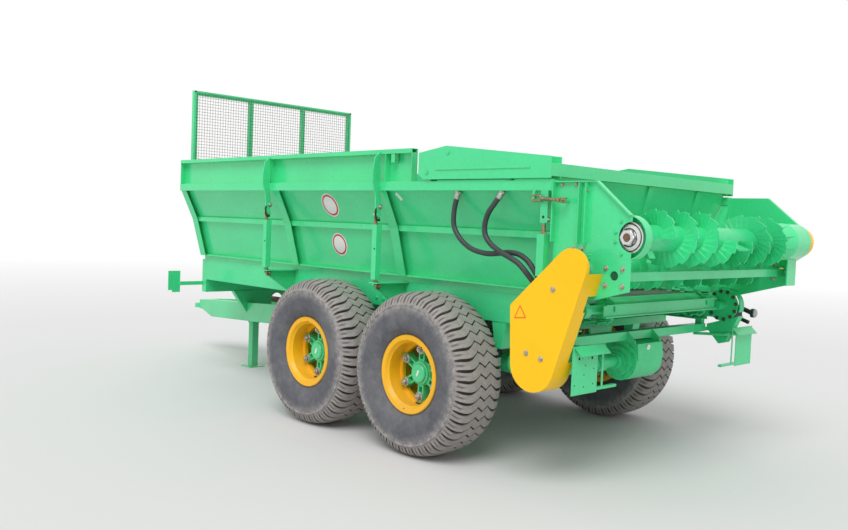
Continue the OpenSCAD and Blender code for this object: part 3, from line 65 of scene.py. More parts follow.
def makeCamera(c):
    data = bpy.data.cameras.new("photoCamera")
    data.sensor_fit = "HORIZONTAL"
    data.sensor_width = 36
    data.lens = c["lens"]
    data.clip_end = 300
    cam = addObject("photoCamera", data)
    forward = Vector(c["forward"]).normalized()
    level = forward.cross(Vector((0, 0, 1))).normalized()
    over = level.cross(forward)
    roll = math.radians(c["roll"])
    right = math.cos(roll) * level + math.sin(roll) * over
    top = math.cos(roll) * over - math.sin(roll) * level
    cam.matrix_world = Matrix.Translation(c["at"]) @ Matrix((right, top, -forward)).transposed().to_4x4()
    bpy.context.scene.camera = cam


makeCamera(camera)

# Mesh helpers


def basis(direction):  # two directions square to the given one
    d = Vector(direction).normalized()
    side = d.cross(Vector((0, 0, 1)) if abs(d.z) < 0.9 else Vector((0, 1, 0))).normalized()
    return side, d.cross(side)


def ringLoop(bm, centre, u, v, r, sides, turn=0.0):
    return [bm.verts.new(Vector(centre) + u * r * math.cos(turn + tau * i / sides)
                         + v * r * math.sin(turn + tau * i / sides)) for i in range(sides)]


def bridge(bm, a, b, mat=0):
    for i in range(len(a)):
        j = (i + 1) % len(a)
        bm.faces.new((a[i], a[j], b[j], b[i])).material_index = mat


def cap(bm, loop, mat=0):
    bm.faces.new(loop).material_index = mat


def cover(bm, loops, mat=0, closed=False):  # bridges the loops in turn and closes the ends
    for a, b in zip(loops, loops[1:] + (loops[:1] if closed else [])):
        bridge(bm, a, b, mat)
    if not closed:
        cap(bm, loops[0][::-1], mat)
        cap(bm, loops[-1], mat)


def lathe(bm, origin, axis, profile, sides=32, mat=0, turn=0.0, closed=False):
    # profile: (radius, distance along the axis) from one end to the other
    u, v = basis(axis)
    d = Vector(axis).normalized()
    cover(bm, [ringLoop(bm, Vector(origin) + d * z, u, v, r, sides, turn) for r, z in profile], mat, closed)


def tube(bm, path, radius, sides):
    points = [Vector(p) for p in path]
    tangents = [(points[min(i + 1, len(points) - 1)] - points[max(i - 1, 0)]).normalized()
                for i in range(len(points))]
    u, _ = basis(tangents[0])
    loops = []
    for p, t in zip(points, tangents):
        u = (u - t * u.dot(t)).normalized()
        loops.append(ringLoop(bm, p, u, t.cross(u), radius, sides))
    cover(bm, loops)


def ringTube(bm, centre, axis, ringR, wireR, steps, sides, stretch=(0, 0, 0)):
    # a closed round or oval ring of wire
    u, v = basis(axis)
    d = Vector(axis).normalized()
    loops = []
    for i in range(steps):
        a = tau * i / steps
        out = u * math.cos(a) + v * math.sin(a)
        shift = Vector(stretch) * (1 if out.dot(Vector(stretch)) > 0 else -1)
        loops.append(ringLoop(bm, Vector(centre) + out * ringR + shift, out, d, wireR, sides))
    cover(bm, loops, closed=True)


def plate(bm, centre, u, v, outline, thick, mat=0):
    # a flat plate drawn by its outline in u and v, rising from centre along u x v
    d = Vector(u).cross(Vector(v)).normalized()
    low = [bm.verts.new(Vector(centre) + Vector(u) * a + Vector(v) * b) for a, b in outline]
    high = [bm.verts.new(p.co + d * thick) for p in low]
    bridge(bm, low, high, mat)
    cap(bm, low[::-1], mat)
    cap(bm, high, mat)


def roundedRect(w, t, r, steps=4):
    points = []
    for cx, cy, a0 in ((w / 2 - r, t / 2 - r, 0), (r - w / 2, t / 2 - r, 90),
                       (r - w / 2, r - t / 2, 180), (w / 2 - r, r - t / 2, 270)):
        for k in range(steps + 1):
            a = math.radians(a0 + 90 * k / steps)
            points.append((cx + r * math.cos(a), cy + r * math.sin(a)))
    return points


def box(bm, low, high, mat=0):
    (x0, y0, z0), (x1, y1, z1) = low, high
    plate(bm, (0, 0, z0), (1, 0, 0), (0, 1, 0), [(x0, y0), (x1, y0), (x1, y1), (x0, y1)], z1 - z0, mat)


def hexBolt(bm, at, axis, r, high, washer=1.4, stud=0.0, turn=0.0):
    # washer, six-sided head or nut with a turned top, and the thread's end
    d = Vector(axis).normalized()
    at = Vector(at)
    if washer:
        lathe(bm, at, d, [(r * washer * 0.98, -0.001), (r * washer, 0.0004), (r * washer, 0.0016),
                          (r * washer * 0.96, 0.002)], 20)
    base = at + d * 0.002 * (1 if washer else 0)
    lathe(bm, base, d, [(r * 0.98, -0.0005), (r, 0.0006), (r, high * 0.86)], 6, turn=turn)
    lathe(bm, base, d, [(r * 0.86, high * 0.8), (r * 0.84, high)], 20)
    if stud:
        lathe(bm, base, d, [(r * 0.5, high * 0.9), (r * 0.5, high + stud * 0.85), (r * 0.4, high + stud)], 14)


def finishPiece(name, bm, looks, body="frame", replaced=(), angle=38, bevel=0.0):
    bmesh.ops.recalc_face_normals(bm, faces=bm.faces)
    mesh = bpy.data.meshes.new(name)
    bm.to_mesh(mesh)
    bm.free()
    for look in looks:
        mesh.materials.append(mats[look])
    mesh.shade_smooth()
    mesh.set_sharp_from_angle(angle=math.radians(angle))
    obj = addObject(name, mesh)
    if bevel:
        mod = obj.modifiers.new("softEdge", "BEVEL")
        mod.width = bevel
        mod.segments = 2
        mod.limit_method = "ANGLE"
        mod.angle_limit = math.radians(40)
    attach(obj, body)
    if replaced:
        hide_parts(*replaced)


# Shader helpers


def setInputs(node, values):  # links a socket, or sets a value; a colour may leave out its alpha
    for key, value in values.items():
        if isinstance(value, bpy.types.NodeSocket):
            node.id_data.links.new(value, node.inputs[key])
        elif node.inputs[key].type == "RGBA":
            node.inputs[key].default_value = (*value[:3], 1)
        else:
            node.inputs[key].default_value = value


def addNode(tree, kind, values=(), **settings):
    node = tree.nodes.new(kind)
    for key, value in settings.items():
        setattr(node, key, value)
    setInputs(node, dict(values))
    return node


def maths(tree, operation, a, b, clamp=False):
    return addNode(tree, "ShaderNodeMath", {0: a, 1: b}, operation=operation, use_clamp=clamp).outputs[0]


def times(tree, a, b, clamp=False):
    return maths(tree, "MULTIPLY", a, b, clamp)


def mixColour(tree, mask, a, b, mode="MIX"):
    return addNode(tree, "ShaderNodeMix", {0: mask, 6: a, 7: b}, data_type="RGBA", blend_type=mode).outputs[2]


def ramp(tree, value, low, high, outLow=0.0, outHigh=1.0):
    return addNode(tree, "ShaderNodeMapRange", {0: value, 1: low, 2: high, 3: outLow, 4: outHigh},
                   clamp=True).outputs[0]


def noise(tree, where, scale, detail=3.0, rough=0.55):
    return addNode(tree, "ShaderNodeTexNoise", {"Vector": where, "Scale": scale, "Detail": detail,
                                                "Roughness": rough}).outputs[0]


def makeGroup(name, inputs, outputs, build):
    group = bpy.data.node_groups.new(name, "ShaderNodeTree")
    kinds = {"c": "NodeSocketColor", "f": "NodeSocketFloat", "v": "NodeSocketVector"}
    for label, kind, value in inputs:
        socket = group.interface.new_socket(label, in_out="INPUT", socket_type=kinds[kind])
        socket.default_value = value
    for label, kind in outputs:
        group.interface.new_socket(label, in_out="OUTPUT", socket_type=kinds[kind])
    into = group.nodes.new("NodeGroupInput").outputs
    out = group.nodes.new("NodeGroupOutput").inputs
    for label, socket in build(group, into).items():
        group.links.new(socket, out[label])
    return group


def useGroup(tree, group, values):
    return addNode(tree, "ShaderNodeGroup", values, node_tree=group).outputs


def addBump(tree, strength, distance, height, **normal):
    return addNode(tree, "ShaderNodeBump", {"Strength": strength, "Distance": distance, "Height": height,
                                            **normal}).outputs[0]


def objectPlace(tree):
    return addNode(tree, "ShaderNodeTexCoord").outputs["Object"]


def buildTone(g, i):  # slow and fine change of a colour's brightness
    where = objectPlace(g)
    slow = ramp(g, noise(g, where, i["Scale"], 3), 0.3, 0.7, -1, 1)
    fine = ramp(g, noise(g, where, times(g, i["Scale"], 22), 4), 0.3, 0.7, -1, 1)
    both = maths(g, "ADD", slow, times(g, fine, 0.45))
    value = maths(g, "ADD", 1, times(g, both, i["Amount"]))
    hsv = addNode(g, "ShaderNodeHueSaturation", {"Color": i["Color"], "Value": value})
    return {"Color": hsv.outputs[0]}


def buildDust(g, i):  # dust on faces that look up, and splashes near the ground
    coords = addNode(g, "ShaderNodeTexCoord")
    where = coords.outputs["Object"]
    upward = addNode(g, "ShaderNodeSeparateXYZ", {0: coords.outputs["Normal"]}).outputs[2]
    height = addNode(g, "ShaderNodeSeparateXYZ", {0: where}).outputs[2]
    cloud = ramp(g, noise(g, where, 5.5, 5, 0.65), 0.38, 0.72)
    fine = ramp(g, noise(g, where, 60, 4, 0.7), 0.35, 0.7)
    lying = times(g, ramp(g, upward, 0.25, 0.95), i["Lying"])
    low = times(g, ramp(g, height, i["Splash Top"], ground), i["Splash"])
    spots = times(g, maths(g, "ADD", cloud, fine), 0.6)
    mask = times(g, maths(g, "ADD", lying, low), spots, clamp=True)
    return {"Color": mixColour(g, mask, i["Color"], i["Dust"]), "Mask": mask}


def buildRubAndHighlight(g, i):  # lighter lines along the edges: rubbed paint, and partly a painted highlight where the edges catch the light
    bevelled = addNode(g, "ShaderNodeBevel", {"Radius": i["Width"]}, samples=4)
    flat = addNode(g, "ShaderNodeNewGeometry").outputs["Normal"]
    dot = addNode(g, "ShaderNodeVectorMath", {0: bevelled.outputs[0], 1: flat}, operation="DOT_PRODUCT")
    edge = ramp(g, dot.outputs["Value"], 0.985, 0.8)
    broken = ramp(g, noise(g, objectPlace(g), 38, 5, 0.7), 0.42, 0.62)
    mask = times(g, times(g, edge, broken), i["Amount"], clamp=True)
    return {"Mask": mask, "Normal": bevelled.outputs[0]}


def buildSkin(g, i):  # fine skin of sprayed paint over a slightly wavy sheet
    where = objectPlace(g)
    peel = times(g, noise(g, where, 420, 2), i["Peel"])
    wave = times(g, noise(g, where, 5, 2, 0.4), i["Wave"])
    return {"Height": maths(g, "ADD", peel, wave)}


toneGroup = makeGroup("toneShift", [("Color", "c", (1, 1, 1, 1)), ("Amount", "f", 0.05), ("Scale", "f", 1.6)],
                      [("Color", "c")], buildTone)
dustGroup = makeGroup("dustAndSplash", [("Color", "c", (1, 1, 1, 1)), ("Dust", "c", (0.3, 0.27, 0.22, 1)),
                                        ("Lying", "f", 0.2), ("Splash", "f", 0.3), ("Splash Top", "f", 0.2)],
                      [("Color", "c"), ("Mask", "f")], buildDust)
rubAndHighlightGroup = makeGroup("edgeRubAndHighlight", [("Width", "f", 0.003), ("Amount", "f", 0.3)],
                      [("Mask", "f"), ("Normal", "v")], buildRubAndHighlight)
skinGroup = makeGroup("paintSkin", [("Peel", "f", 0.00012), ("Wave", "f", 0.004)], [("Height", "f")], buildSkin)


def startMaterial(name, colour, shader=()):
    mat = bpy.data.materials.new(name)
    mat.use_nodes = True
    tree = mat.node_tree
    tree.nodes.clear()
    principled = addNode(tree, "ShaderNodeBsdfPrincipled", {"Base Color": colour, **dict(shader)})
    addNode(tree, "ShaderNodeOutputMaterial", {0: principled.outputs[0]})
    mat.diffuse_color = (*colour, 1)
    return mat, tree, principled


# edge is a paler tint of each paint along the edges: partly rubbed paint, partly a painted highlight
paints = {
    "greenPanel": dict(colour=(0.052, 0.7, 0.276), edge=(0.26, 0.86, 0.52), rough=0.32, coat=0.5, tone=0.06,
                       lying=0.08, splash=0.0, rubAndHighlight=0.55, peel=0.0001, wave=0.0045),
    "greenFrame": dict(colour=(0.056, 0.66, 0.27), edge=(0.24, 0.82, 0.48), rough=0.34, coat=0.35, tone=0.08,
                       lying=0.18, splash=0.4, rubAndHighlight=0.55, peel=0.00012, wave=0.001),
    "greenRotor": dict(colour=(0.036, 0.62, 0.236), edge=(0.28, 0.86, 0.54), rough=0.36, coat=0.15, tone=0.11,
                       lying=0.06, splash=0.0, rubAndHighlight=0.8, peel=0.00014, wave=0.001),
    "yellowGuard": dict(colour=(0.98, 0.56, 0.006), edge=(1.0, 0.72, 0.12), rough=0.36, coat=0.08, tone=0.04,
                        lying=0.05, splash=0.12, rubAndHighlight=0.5, peel=0.0001, wave=0.003, shine=0.22),
    "yellowRim": dict(colour=(0.93, 0.475, 0.008), edge=(0.98, 0.66, 0.1), rough=0.36, coat=0.12, tone=0.07,
                      lying=0.16, splash=0.25, rubAndHighlight=0.4, peel=0.00012, wave=0.0005, shine=0.3),
    "blackPaint": dict(colour=(0.022, 0.026, 0.027), edge=(0.1, 0.09, 0.08), rough=0.5, coat=0.1, tone=0.2,
                       lying=0.45, splash=0.5, rubAndHighlight=0.4, peel=0.0003, wave=0.001),
}


def makePaint(name, p):
    mat, tree, shader = startMaterial(name, p["colour"], {"Coat Weight": p["coat"], "Coat Roughness": 0.12,
                                                          "Specular IOR Level": p.get("shine", 0.4)})
    tone = useGroup(tree, toneGroup, {"Color": p["colour"], "Amount": p["tone"]})
    rubAndHighlight = useGroup(tree, rubAndHighlightGroup, {"Amount": p["rubAndHighlight"]})
    # paler edge tint: partly rubbed paint, partly a painted highlight
    rubbedAndLit = mixColour(tree, rubAndHighlight["Mask"], tone["Color"], p["edge"])
    dust = useGroup(tree, dustGroup, {"Color": rubbedAndLit, "Lying": p["lying"], "Splash": p["splash"]})
    rough = ramp(tree, noise(tree, objectPlace(tree), 9, 4), 0.3, 0.7, p["rough"] - 0.05, p["rough"] + 0.07)
    rough = maths(tree, "ADD", rough, times(tree, dust["Mask"], 0.5), clamp=True)
    skin = useGroup(tree, skinGroup, {"Peel": p["peel"], "Wave": p["wave"]})
    setInputs(shader, {"Base Color": dust["Color"], "Roughness": rough,
                       "Normal": addBump(tree, 0.8, 1.0, skin["Height"], Normal=rubAndHighlight["Normal"])})
    return mat


rustColour = (0.17, 0.065, 0.02)
metals = {
    "zincPlate": dict(colour=(0.66, 0.66, 0.62), dark=(0.34, 0.33, 0.3), rough=0.34, rust=0.12, grain=180),
    "turnedSteel": dict(colour=(0.86, 0.86, 0.87), dark=(0.62, 0.62, 0.63), rough=0.34, rust=0.1, grain=160),
    "rustySteel": dict(colour=(0.36, 0.25, 0.18), dark=(0.17, 0.09, 0.055), rough=0.58, rust=0.6, grain=90),
    "brassEye": dict(colour=(0.47, 0.4, 0.24), dark=(0.2, 0.15, 0.085), rough=0.42, rust=0.1, grain=140),
    "rustyZinc": dict(colour=(0.66, 0.64, 0.55), dark=(0.36, 0.3, 0.2), rough=0.42, rust=0.28, grain=150),
    "darkBolt": dict(colour=(0.16, 0.19, 0.12), dark=(0.05, 0.06, 0.04), rough=0.45, rust=0.4, grain=160),
    "darkRust": dict(colour=(0.12, 0.09, 0.055), dark=(0.05, 0.036, 0.022), rough=0.6, rust=0.4, grain=120),
    "wireSteel": dict(colour=(0.3, 0.33, 0.28), dark=(0.12, 0.11, 0.1), rough=0.45, rust=0.3, grain=120),
}


def makeMetal(name, p):
    mat, tree, shader = startMaterial(name, p["colour"], {"Metallic": 1.0})
    where = objectPlace(tree)
    stain = ramp(tree, noise(tree, where, p["grain"], 5, 0.65), 0.36, 0.66)
    base = mixColour(tree, stain, p["dark"], p["colour"])
    spots = times(tree, ramp(tree, noise(tree, where, 45, 6, 0.7), 0.5, 0.68), p["rust"], clamp=True)
    rubAndHighlight = useGroup(tree, rubAndHighlightGroup, {"Width": 0.0012, "Amount": 0.0})  # only its rounded normal is used
    setInputs(shader, {"Base Color": mixColour(tree, spots, base, rustColour),
                       "Metallic": ramp(tree, spots, 0, 1, 1.0, 0.15),
                       "Roughness": ramp(tree, stain, 0, 1, p["rough"] + 0.16, p["rough"]),
                       "Normal": addBump(tree, 0.5, 0.0006, stain, Normal=rubAndHighlight["Normal"])})
    return mat


plain = {
    "hoseRubber": dict(colour=(0.032, 0.04, 0.042), rough=0.48, tone=0.25, scale=8, bump=0.0004),
    "lampRubber": dict(colour=(0.02, 0.022, 0.024), rough=0.55, tone=0.25, scale=9, bump=0.0003),
    "lampLens": dict(colour=(0.42, 0.43, 0.44), rough=0.18, tone=0.06, scale=20, bump=0.0003),
    "signWhite": dict(colour=(0.78, 0.79, 0.77), rough=0.38, tone=0.04, scale=12, bump=0.0001),
    "signRed": dict(colour=(0.62, 0.03, 0.035), rough=0.38, tone=0.05, scale=12, bump=0.0001),
    "signOrange": dict(colour=(0.86, 0.15, 0.012), rough=0.4, tone=0.05, scale=12, bump=0.0001),
    "labelWhite": dict(colour=(0.8, 0.81, 0.78), rough=0.45, tone=0.05, scale=20, bump=0.0001),
    # seatHoleShade: dark green disc painted as the shade inside the seat's hole
    "seatHoleShade": dict(colour=(0.006, 0.085, 0.036), rough=0.6, tone=0.15, scale=30, bump=0.0002),
    # holeShade: near-black discs painted where holes show their shade
    "holeShade": dict(colour=(0.01, 0.014, 0.011), rough=0.8, tone=0.3, scale=30, bump=0.0002),
}


def makePlain(name, p):
    mat, tree, shader = startMaterial(name, p["colour"])
    tone = useGroup(tree, toneGroup, {"Color": p["colour"], "Amount": p["tone"], "Scale": float(p["scale"])})
    dust = useGroup(tree, dustGroup, {"Color": tone["Color"], "Lying": 0.15, "Splash": 0.1})
    grain = noise(tree, objectPlace(tree), 260, 3)
    setInputs(shader, {"Base Color": dust["Color"],
                       "Roughness": ramp(tree, grain, 0.3, 0.7, p["rough"] - 0.06, p["rough"] + 0.08),
                       "Normal": addBump(tree, 0.6, p["bump"], grain)})
    return mat


# groove is painted shade: the near-black colour of the groove bottoms
tyreLook = dict(tread=(0.285, 0.262, 0.25), groove=(0.03, 0.028, 0.027), side=(0.08, 0.085, 0.104),
                scuffed=(0.158, 0.16, 0.168), dusty=(0.42, 0.385, 0.365))


def makeTyreRubber(p):
    # the point attribute rubberMix holds tread (red), groove bottoms painted dark as shade (green) and shoulder dust
    # (blue)
    mat, tree, shader = startMaterial("tyreRubber", p["tread"])
    mixes = addNode(tree, "ShaderNodeAttribute", attribute_name="rubberMix")
    split = addNode(tree, "ShaderNodeSeparateColor", {0: mixes.outputs["Color"]}).outputs
    where = objectPlace(tree)
    patch = ramp(tree, noise(tree, where, 7, 5, 0.65), 0.35, 0.68)
    speck = ramp(tree, noise(tree, where, 130, 4, 0.7), 0.34, 0.68)
    blot = ramp(tree, noise(tree, where, 24, 5, 0.7), 0.42, 0.64)
    smear = ramp(tree, noise(tree, where, 3.2, 4, 0.6), 0.36, 0.62, 0.15, 0.95)
    side = mixColour(tree, times(tree, patch, smear), p["side"], p["scuffed"])
    side = mixColour(tree, times(tree, blot, 0.1), side, p["dusty"])
    dusted = times(tree, split[2], maths(tree, "ADD", 0.35, times(tree, blot, 0.65)))
    side = mixColour(tree, dusted, side, p["dusty"])
    tread = mixColour(tree, times(tree, blot, 0.5), p["tread"], p["dusty"])
    colour = mixColour(tree, split[0], side, tread)
    # groove bottoms painted near black: painted shade in the grooves
    colour = mixColour(tree, times(tree, split[1], 0.92), colour, p["groove"])
    colour = mixColour(tree, 0.35, colour, mixColour(tree, speck, (0.35, 0.35, 0.35), (0.65, 0.65, 0.65)), "OVERLAY")
    setInputs(shader, {"Base Color": colour, "Roughness": ramp(tree, speck, 0, 1, 0.62, 0.85),
                       "Normal": addBump(tree, 0.7, 0.0014, speck)})
    return mat


mats = {name: makePaint(name, p) for name, p in paints.items()}
mats.update({name: makeMetal(name, p) for name, p in metals.items()})
mats.update({name: makePlain(name, p) for name, p in plain.items()})
mats["tyreRubber"] = makeTyreRubber(tyreLook)
print("materials:", len(mats))

# Finish of every CAD node
finishOfSlot = {"green_paint": "greenFrame", "yellow_paint": "yellowRim", "dark_paint": "blackPaint",
                "tyre": "tyreRubber", "black_rubber": "lampRubber", "bare_steel": "turnedSteel"}
finishOfNode = {"chain_guards": "yellowGuard", "guard_mesh": "wireSteel", "hose_block": "zincPlate",
                "upper_auger": "greenRotor", "lower_auger": "greenRotor", "gearbox": "greenRotor",
                "conveyor_drive": "greenRotor", "conveyor_chains": "greenRotor",
                "drive_shaft": "rustySteel", "cross_shaft": "greenRotor"}
for name in ("wall_left", "wall_right", "front_wall", "extension_boards", "gate", "cheek_left", "cheek_right"):
    finishOfNode[name] = "greenPanel"


def dressNodes():
    for name, node in nodes.items():
        node.data.materials.clear()
        node.data.materials.append(mats[finishOfNode.get(name, finishOfSlot[slotOf[name]])])


dressNodes()
print("CAD nodes dressed")

# Tyres: zigzag grooves across the crown that open into deep shoulder notches
tyre = {
    "lugs": 48, "radius": 0.535,
    # distance from the tread's middle: place along the rim, half width and depth of a groove
    "groove": [(0.0, 0.03, 0.0058, 0.013), (0.022, 0.013, 0.0036, 0.012), (0.045, -0.002, 0.0056, 0.013),
               (0.058, 0.012, 0.0026, 0.004), (0.07, 0.019, 0.004, 0.012), (0.088, 0.033, 0.0052, 0.014),
               (0.105, 0.04, 0.007, 0.018), (0.124, 0.043, 0.0086, 0.022), (0.145, 0.042, 0.0086, 0.024),
               (0.165, 0.039, 0.0084, 0.024), (0.18, 0.036, 0.0076, 0.02), (0.188, 0.034, 0.006, 0.013),
               (0.195, 0.033, 0.004, 0.0)],
    # half width and depth of the short notch in the middle of each lug's shoulder
    "notch": [(0.0, 0.003, 0.0), (0.14, 0.003, 0.0), (0.156, 0.004, 0.002), (0.173, 0.0056, 0.0065),
              (0.188, 0.005, 0.0055), (0.195, 0.004, 0.0)],
    "slope": 0.0022,
    "outer": [(0.0, 0.535), (0.022, 0.535), (0.045, 0.5348), (0.058, 0.5345), (0.07, 0.534), (0.088, 0.5325),
              (0.105, 0.5305), (0.124, 0.5268), (0.145, 0.52), (0.156, 0.5146), (0.165, 0.509), (0.173, 0.502),
              (0.18, 0.492), (0.188, 0.476), (0.195, 0.46)],
    "side": [(0.1985, 0.456), (0.2035, 0.4545), (0.2045, 0.451), (0.204, 0.4475), (0.201, 0.4455),
             (0.2015, 0.44), (0.2045, 0.415), (0.205, 0.39), (0.2035, 0.36), (0.199, 0.33), (0.1915, 0.305),
             (0.183, 0.29), (0.1765, 0.2835), (0.1745, 0.279), (0.167, 0.271), (0.158, 0.264), (0.152, 0.2595)],
    "inner": [(0.151, 0.232), (0.135, 0.234), (0.165, 0.3), (0.186, 0.39), (0.165, 0.47), (0.1, 0.505)],
}


def grooveAt(w, table):  # a table's values at w from the tread's middle
    w0 = min(abs(w), table[-1][0])
    for a, b in zip(table, table[1:]):
        if w0 <= b[0]:
            t = (w0 - a[0]) / (b[0] - a[0])
            return [a[k] + (b[k] - a[k]) * t for k in range(1, len(a))]


def makeTyre(end, sideName, side, centre, p):
    bm = bmesh.new()
    layer = bm.verts.layers.float_color.new("rubberMix")
    line = [(w, r, "side") for w, r in p["side"][::-1]] + [(w, r, "tread") for w, r in p["outer"][::-1]]
    line = [(-w, r, kind) for w, r, kind in line] + [(w, r, kind) for w, r, kind in line[-2::-1]]
    line += [(w, r, "inner") for w, r in p["inner"]] + [(-w, r, "inner") for w, r in p["inner"][::-1]]
    lug = tau * p["radius"] / p["lugs"]
    loops = []
    for w, r, kind in line:
        place, *grooveCut = grooveAt(w, p["groove"])
        cuts = [grooveCut, grooveAt(w, p["notch"])]
        radial = max(0.3, min(1, (r - 0.44) / 0.075)) if kind == "tread" else 1
        shoulder = min(1, max(0, (r - 0.4) / 0.05)) if kind == "side" else 0
        loop = []
        for k in range(p["lugs"]):
            for n, (half, depth) in enumerate(cuts):
                depth = depth if kind == "tread" else 0
                middle = (k + n * 0.5) * lug + place
                for offset, sunk in ((-half - p["slope"], 0), (-half, 1), (half, 1), (half + p["slope"], 0)):
                    a = (middle + offset) / p["radius"]
                    cutIn = depth * sunk
                    rr = r - cutIn * radial
                    ww = w - math.copysign(cutIn * (1 - radial) * 0.8, w)
                    v = bm.verts.new(centre + Vector((rr * math.sin(a), side * ww, rr * math.cos(a))))
                    # green marks the groove bottoms, which the rubber paints as shade
                    v[layer] = (1 if kind == "tread" else 0, sunk * min(1, depth / 0.01), shoulder, 1)
                    loop.append(v)
        loops.append(loop)
    cover(bm, loops, closed=True)
    label = end + "_" + sideName
    finishPiece("tyreDetail." + label, bm, ["tyreRubber"], "wheel_" + label, ["tyre_" + label], angle=42)


axleAt = {"front": 3.7, "rear": 4.8}
trackY = 1.045
wheels = [(end, sideName, s, Vector((x, s * trackY, up(tyre["radius"]))))
          for end, x in axleAt.items() for sideName, s in (("left", -1), ("right", 1))]
for placed in wheels:
    makeTyre(*placed, tyre)
print("tyres made")

# Wheel nuts, blank hub cap label, valve and the two small holes in the flange of each wheel, drawn as dark discs of
# painted shade
wheel = {"arms": 6, "nutR": 0.0225, "boltAt": 0.156, "ledge": 0.0525, "capFace": 0.075,
         "labelTilt": 22, "valveTurn": -82, "valveR": 0.203,
         "holes": {"front": (89, -35), "rear": (-96, 58)}, "holeR": 0.226, "flange": 0.1612}


def spokeAt(degrees):
    a = math.radians(degrees)
    return Vector((math.cos(a), 0, math.sin(a)))


def makeWheelTrim(end, sideName, s, centre, p):
    label = end + "_" + sideName
    body = "wheel_" + label
    out = Vector((0, s, 0))
    bm = bmesh.new()
    for i in range(p["arms"]):
        turn = 30 + 360 / p["arms"] * i
        at = centre + spokeAt(turn) * p["boltAt"] + out * p["ledge"]
        hexBolt(bm, at, out, p["nutR"], 0.019, 1.42, 0.01, turn)
    finishPiece("wheelNuts." + label, bm, ["zincPlate"], body)
    bm = bmesh.new()
    tilt = math.radians(p["labelTilt"])
    u = Vector((-s * math.cos(tilt), 0, s * math.sin(tilt)))
    plate(bm, centre + out * (p["capFace"] + 0.0001), u, out.cross(u), roundedRect(0.014, 0.042, 0.003), 0.0006)
    finishPiece("capLabel." + label, bm, ["labelWhite"], body=body)
    bm = bmesh.new()
    radial = spokeAt(p["valveTurn"])
    lathe(bm, centre + radial * p["valveR"] + out * 0.06, radial * -0.35 + out * 0.9,
          [(0.0085, -0.012), (0.0085, 0.006), (0.0055, 0.01), (0.0042, 0.03), (0.005, 0.031), (0.005, 0.044),
           (0.004, 0.046)], 14)
    finishPiece("valve." + label, bm, ["hoseRubber"], body)
    # the flange holes are near-black discs: painted shade
    bm = bmesh.new()
    for turn in p["holes"][end]:
        at = centre + spokeAt(turn) * p["holeR"] + out * p["flange"]
        lathe(bm, at, out, [(0.0048, -0.001), (0.0048, 0.0006), (0.004, 0.0008)], 14)
    finishPiece("rimHoles." + label, bm, ["holeShade"], body=body)


for placed in wheels:
    makeWheelTrim(*placed, wheel)
print("wheel trim made")

# Woven wire in the front guard
mesh = {"x": 1.462, "halfY": 0.935, "low": 2.005, "high": 2.6645, "pitch": 0.028, "wire": 0.0016, "sides": 5}


def makeGuardMesh(p):
    bm = bmesh.new()
    acrossN = round(2 * p["halfY"] / p["pitch"])
    upN = round((p["high"] - p["low"]) / p["pitch"])
    stepY, stepZ = 2 * p["halfY"] / acrossN, (p["high"] - p["low"]) / upN
    for i in range(1, acrossN):
        y = -p["halfY"] + i * stepY
        path = [(p["x"] + p["wire"] * (-1) ** (i + k), y, up(p["low"] + k * stepZ)) for k in range(upN + 1)]
        tube(bm, path, p["wire"], p["sides"])
    for k in range(1, upN):
        z = up(p["low"] + k * stepZ)
        path = [(p["x"] - p["wire"] * (-1) ** (i + k), -p["halfY"] + i * stepY, z) for i in range(acrossN + 1)]
        tube(bm, path, p["wire"], p["sides"])
    x0, x1, edge = p["x"] - 0.002, p["x"] + 0.002, p["halfY"] - 0.003
    for height in (p["low"] + 0.003, p["high"] - 0.003):
        box(bm, (x0, -edge, up(height) - 0.012), (x1, edge, up(height) + 0.003), mat=1)
    for y in (-p["halfY"] + 0.01, p["halfY"] - 0.01):
        box(bm, (x0, y - 0.01, up(p["low"])), (x1, y + 0.01, up(p["high"])), mat=1)
    finishPiece("guardWire", bm, ["wireSteel", "greenFrame"], replaced=["guard_mesh"], angle=60)


makeGuardMesh(mesh)
print("guard wire made")

# Conveyor chains: welded oval links on both loops
chain = {"frontX": 1.6, "rearX": 5.82, "high": 1.03, "r": 0.08, "y": 0.56, "pitch": 0.0502, "wire": 0.0066,
         "steps": 14, "sides": 6}


def loopPoint(p, at):  # place on a chain's loop at a length along it
    run, arc, z = p["rearX"] - p["frontX"], math.pi * p["r"], up(p["high"])
    s = at % (2 * run + 2 * arc)
    if s < run:
        return Vector((p["frontX"] + s, 0, z + p["r"]))
    if s < run + arc:
        a, x = math.pi / 2 - (s - run) / p["r"], p["rearX"]
    elif s < 2 * run + arc:
        return Vector((p["rearX"] - (s - run - arc), 0, z - p["r"]))
    else:
        a, x = -math.pi / 2 - (s - 2 * run - arc) / p["r"], p["frontX"]
    return Vector((x, 0, z)) + Vector((math.cos(a), 0, math.sin(a))) * p["r"]


def makeChains(p):
    bm = bmesh.new()
    total = 2 * (p["rearX"] - p["frontX"]) + tau * p["r"]
    count = 2 * round(total / p["pitch"] / 2)
    step = total / count
    for y in (-p["y"], p["y"]):
        for i in range(count):
            a, middle, b = [loopPoint(p, (i + shift) * step) for shift in (-0.5, 0, 0.5)]
            middle = (a + b) / 2 if (middle - (a + b) / 2).length < 0.01 else middle
            along = (b - a).normalized()
            across = Vector((0, 1, 0)) if i % 2 else along.cross(Vector((0, 1, 0)))
            normal = along.cross(across)
            halfStraight, halfWidth = step / 2 - p["wire"] * 1.1, p["wire"] * 2.1
            loops = []
            for k in range(p["steps"]):
                t = tau * k / p["steps"]
                c, s = math.cos(t), math.sin(t)
                lengthwise = halfStraight * (1 if c > 0 else -1) + halfWidth * c * 0.95
                centre = middle + Vector((0, y, 0)) + along * lengthwise + across * halfWidth * s
                radial = (along * c + across * s).normalized()
                loops.append(ringLoop(bm, centre, radial, normal, p["wire"], p["sides"]))
            cover(bm, loops, closed=True)
    finishPiece("chainLinks", bm, ["greenRotor"], replaced=["conveyor_chains"], angle=70)


makeChains(chain)
print("chains made")

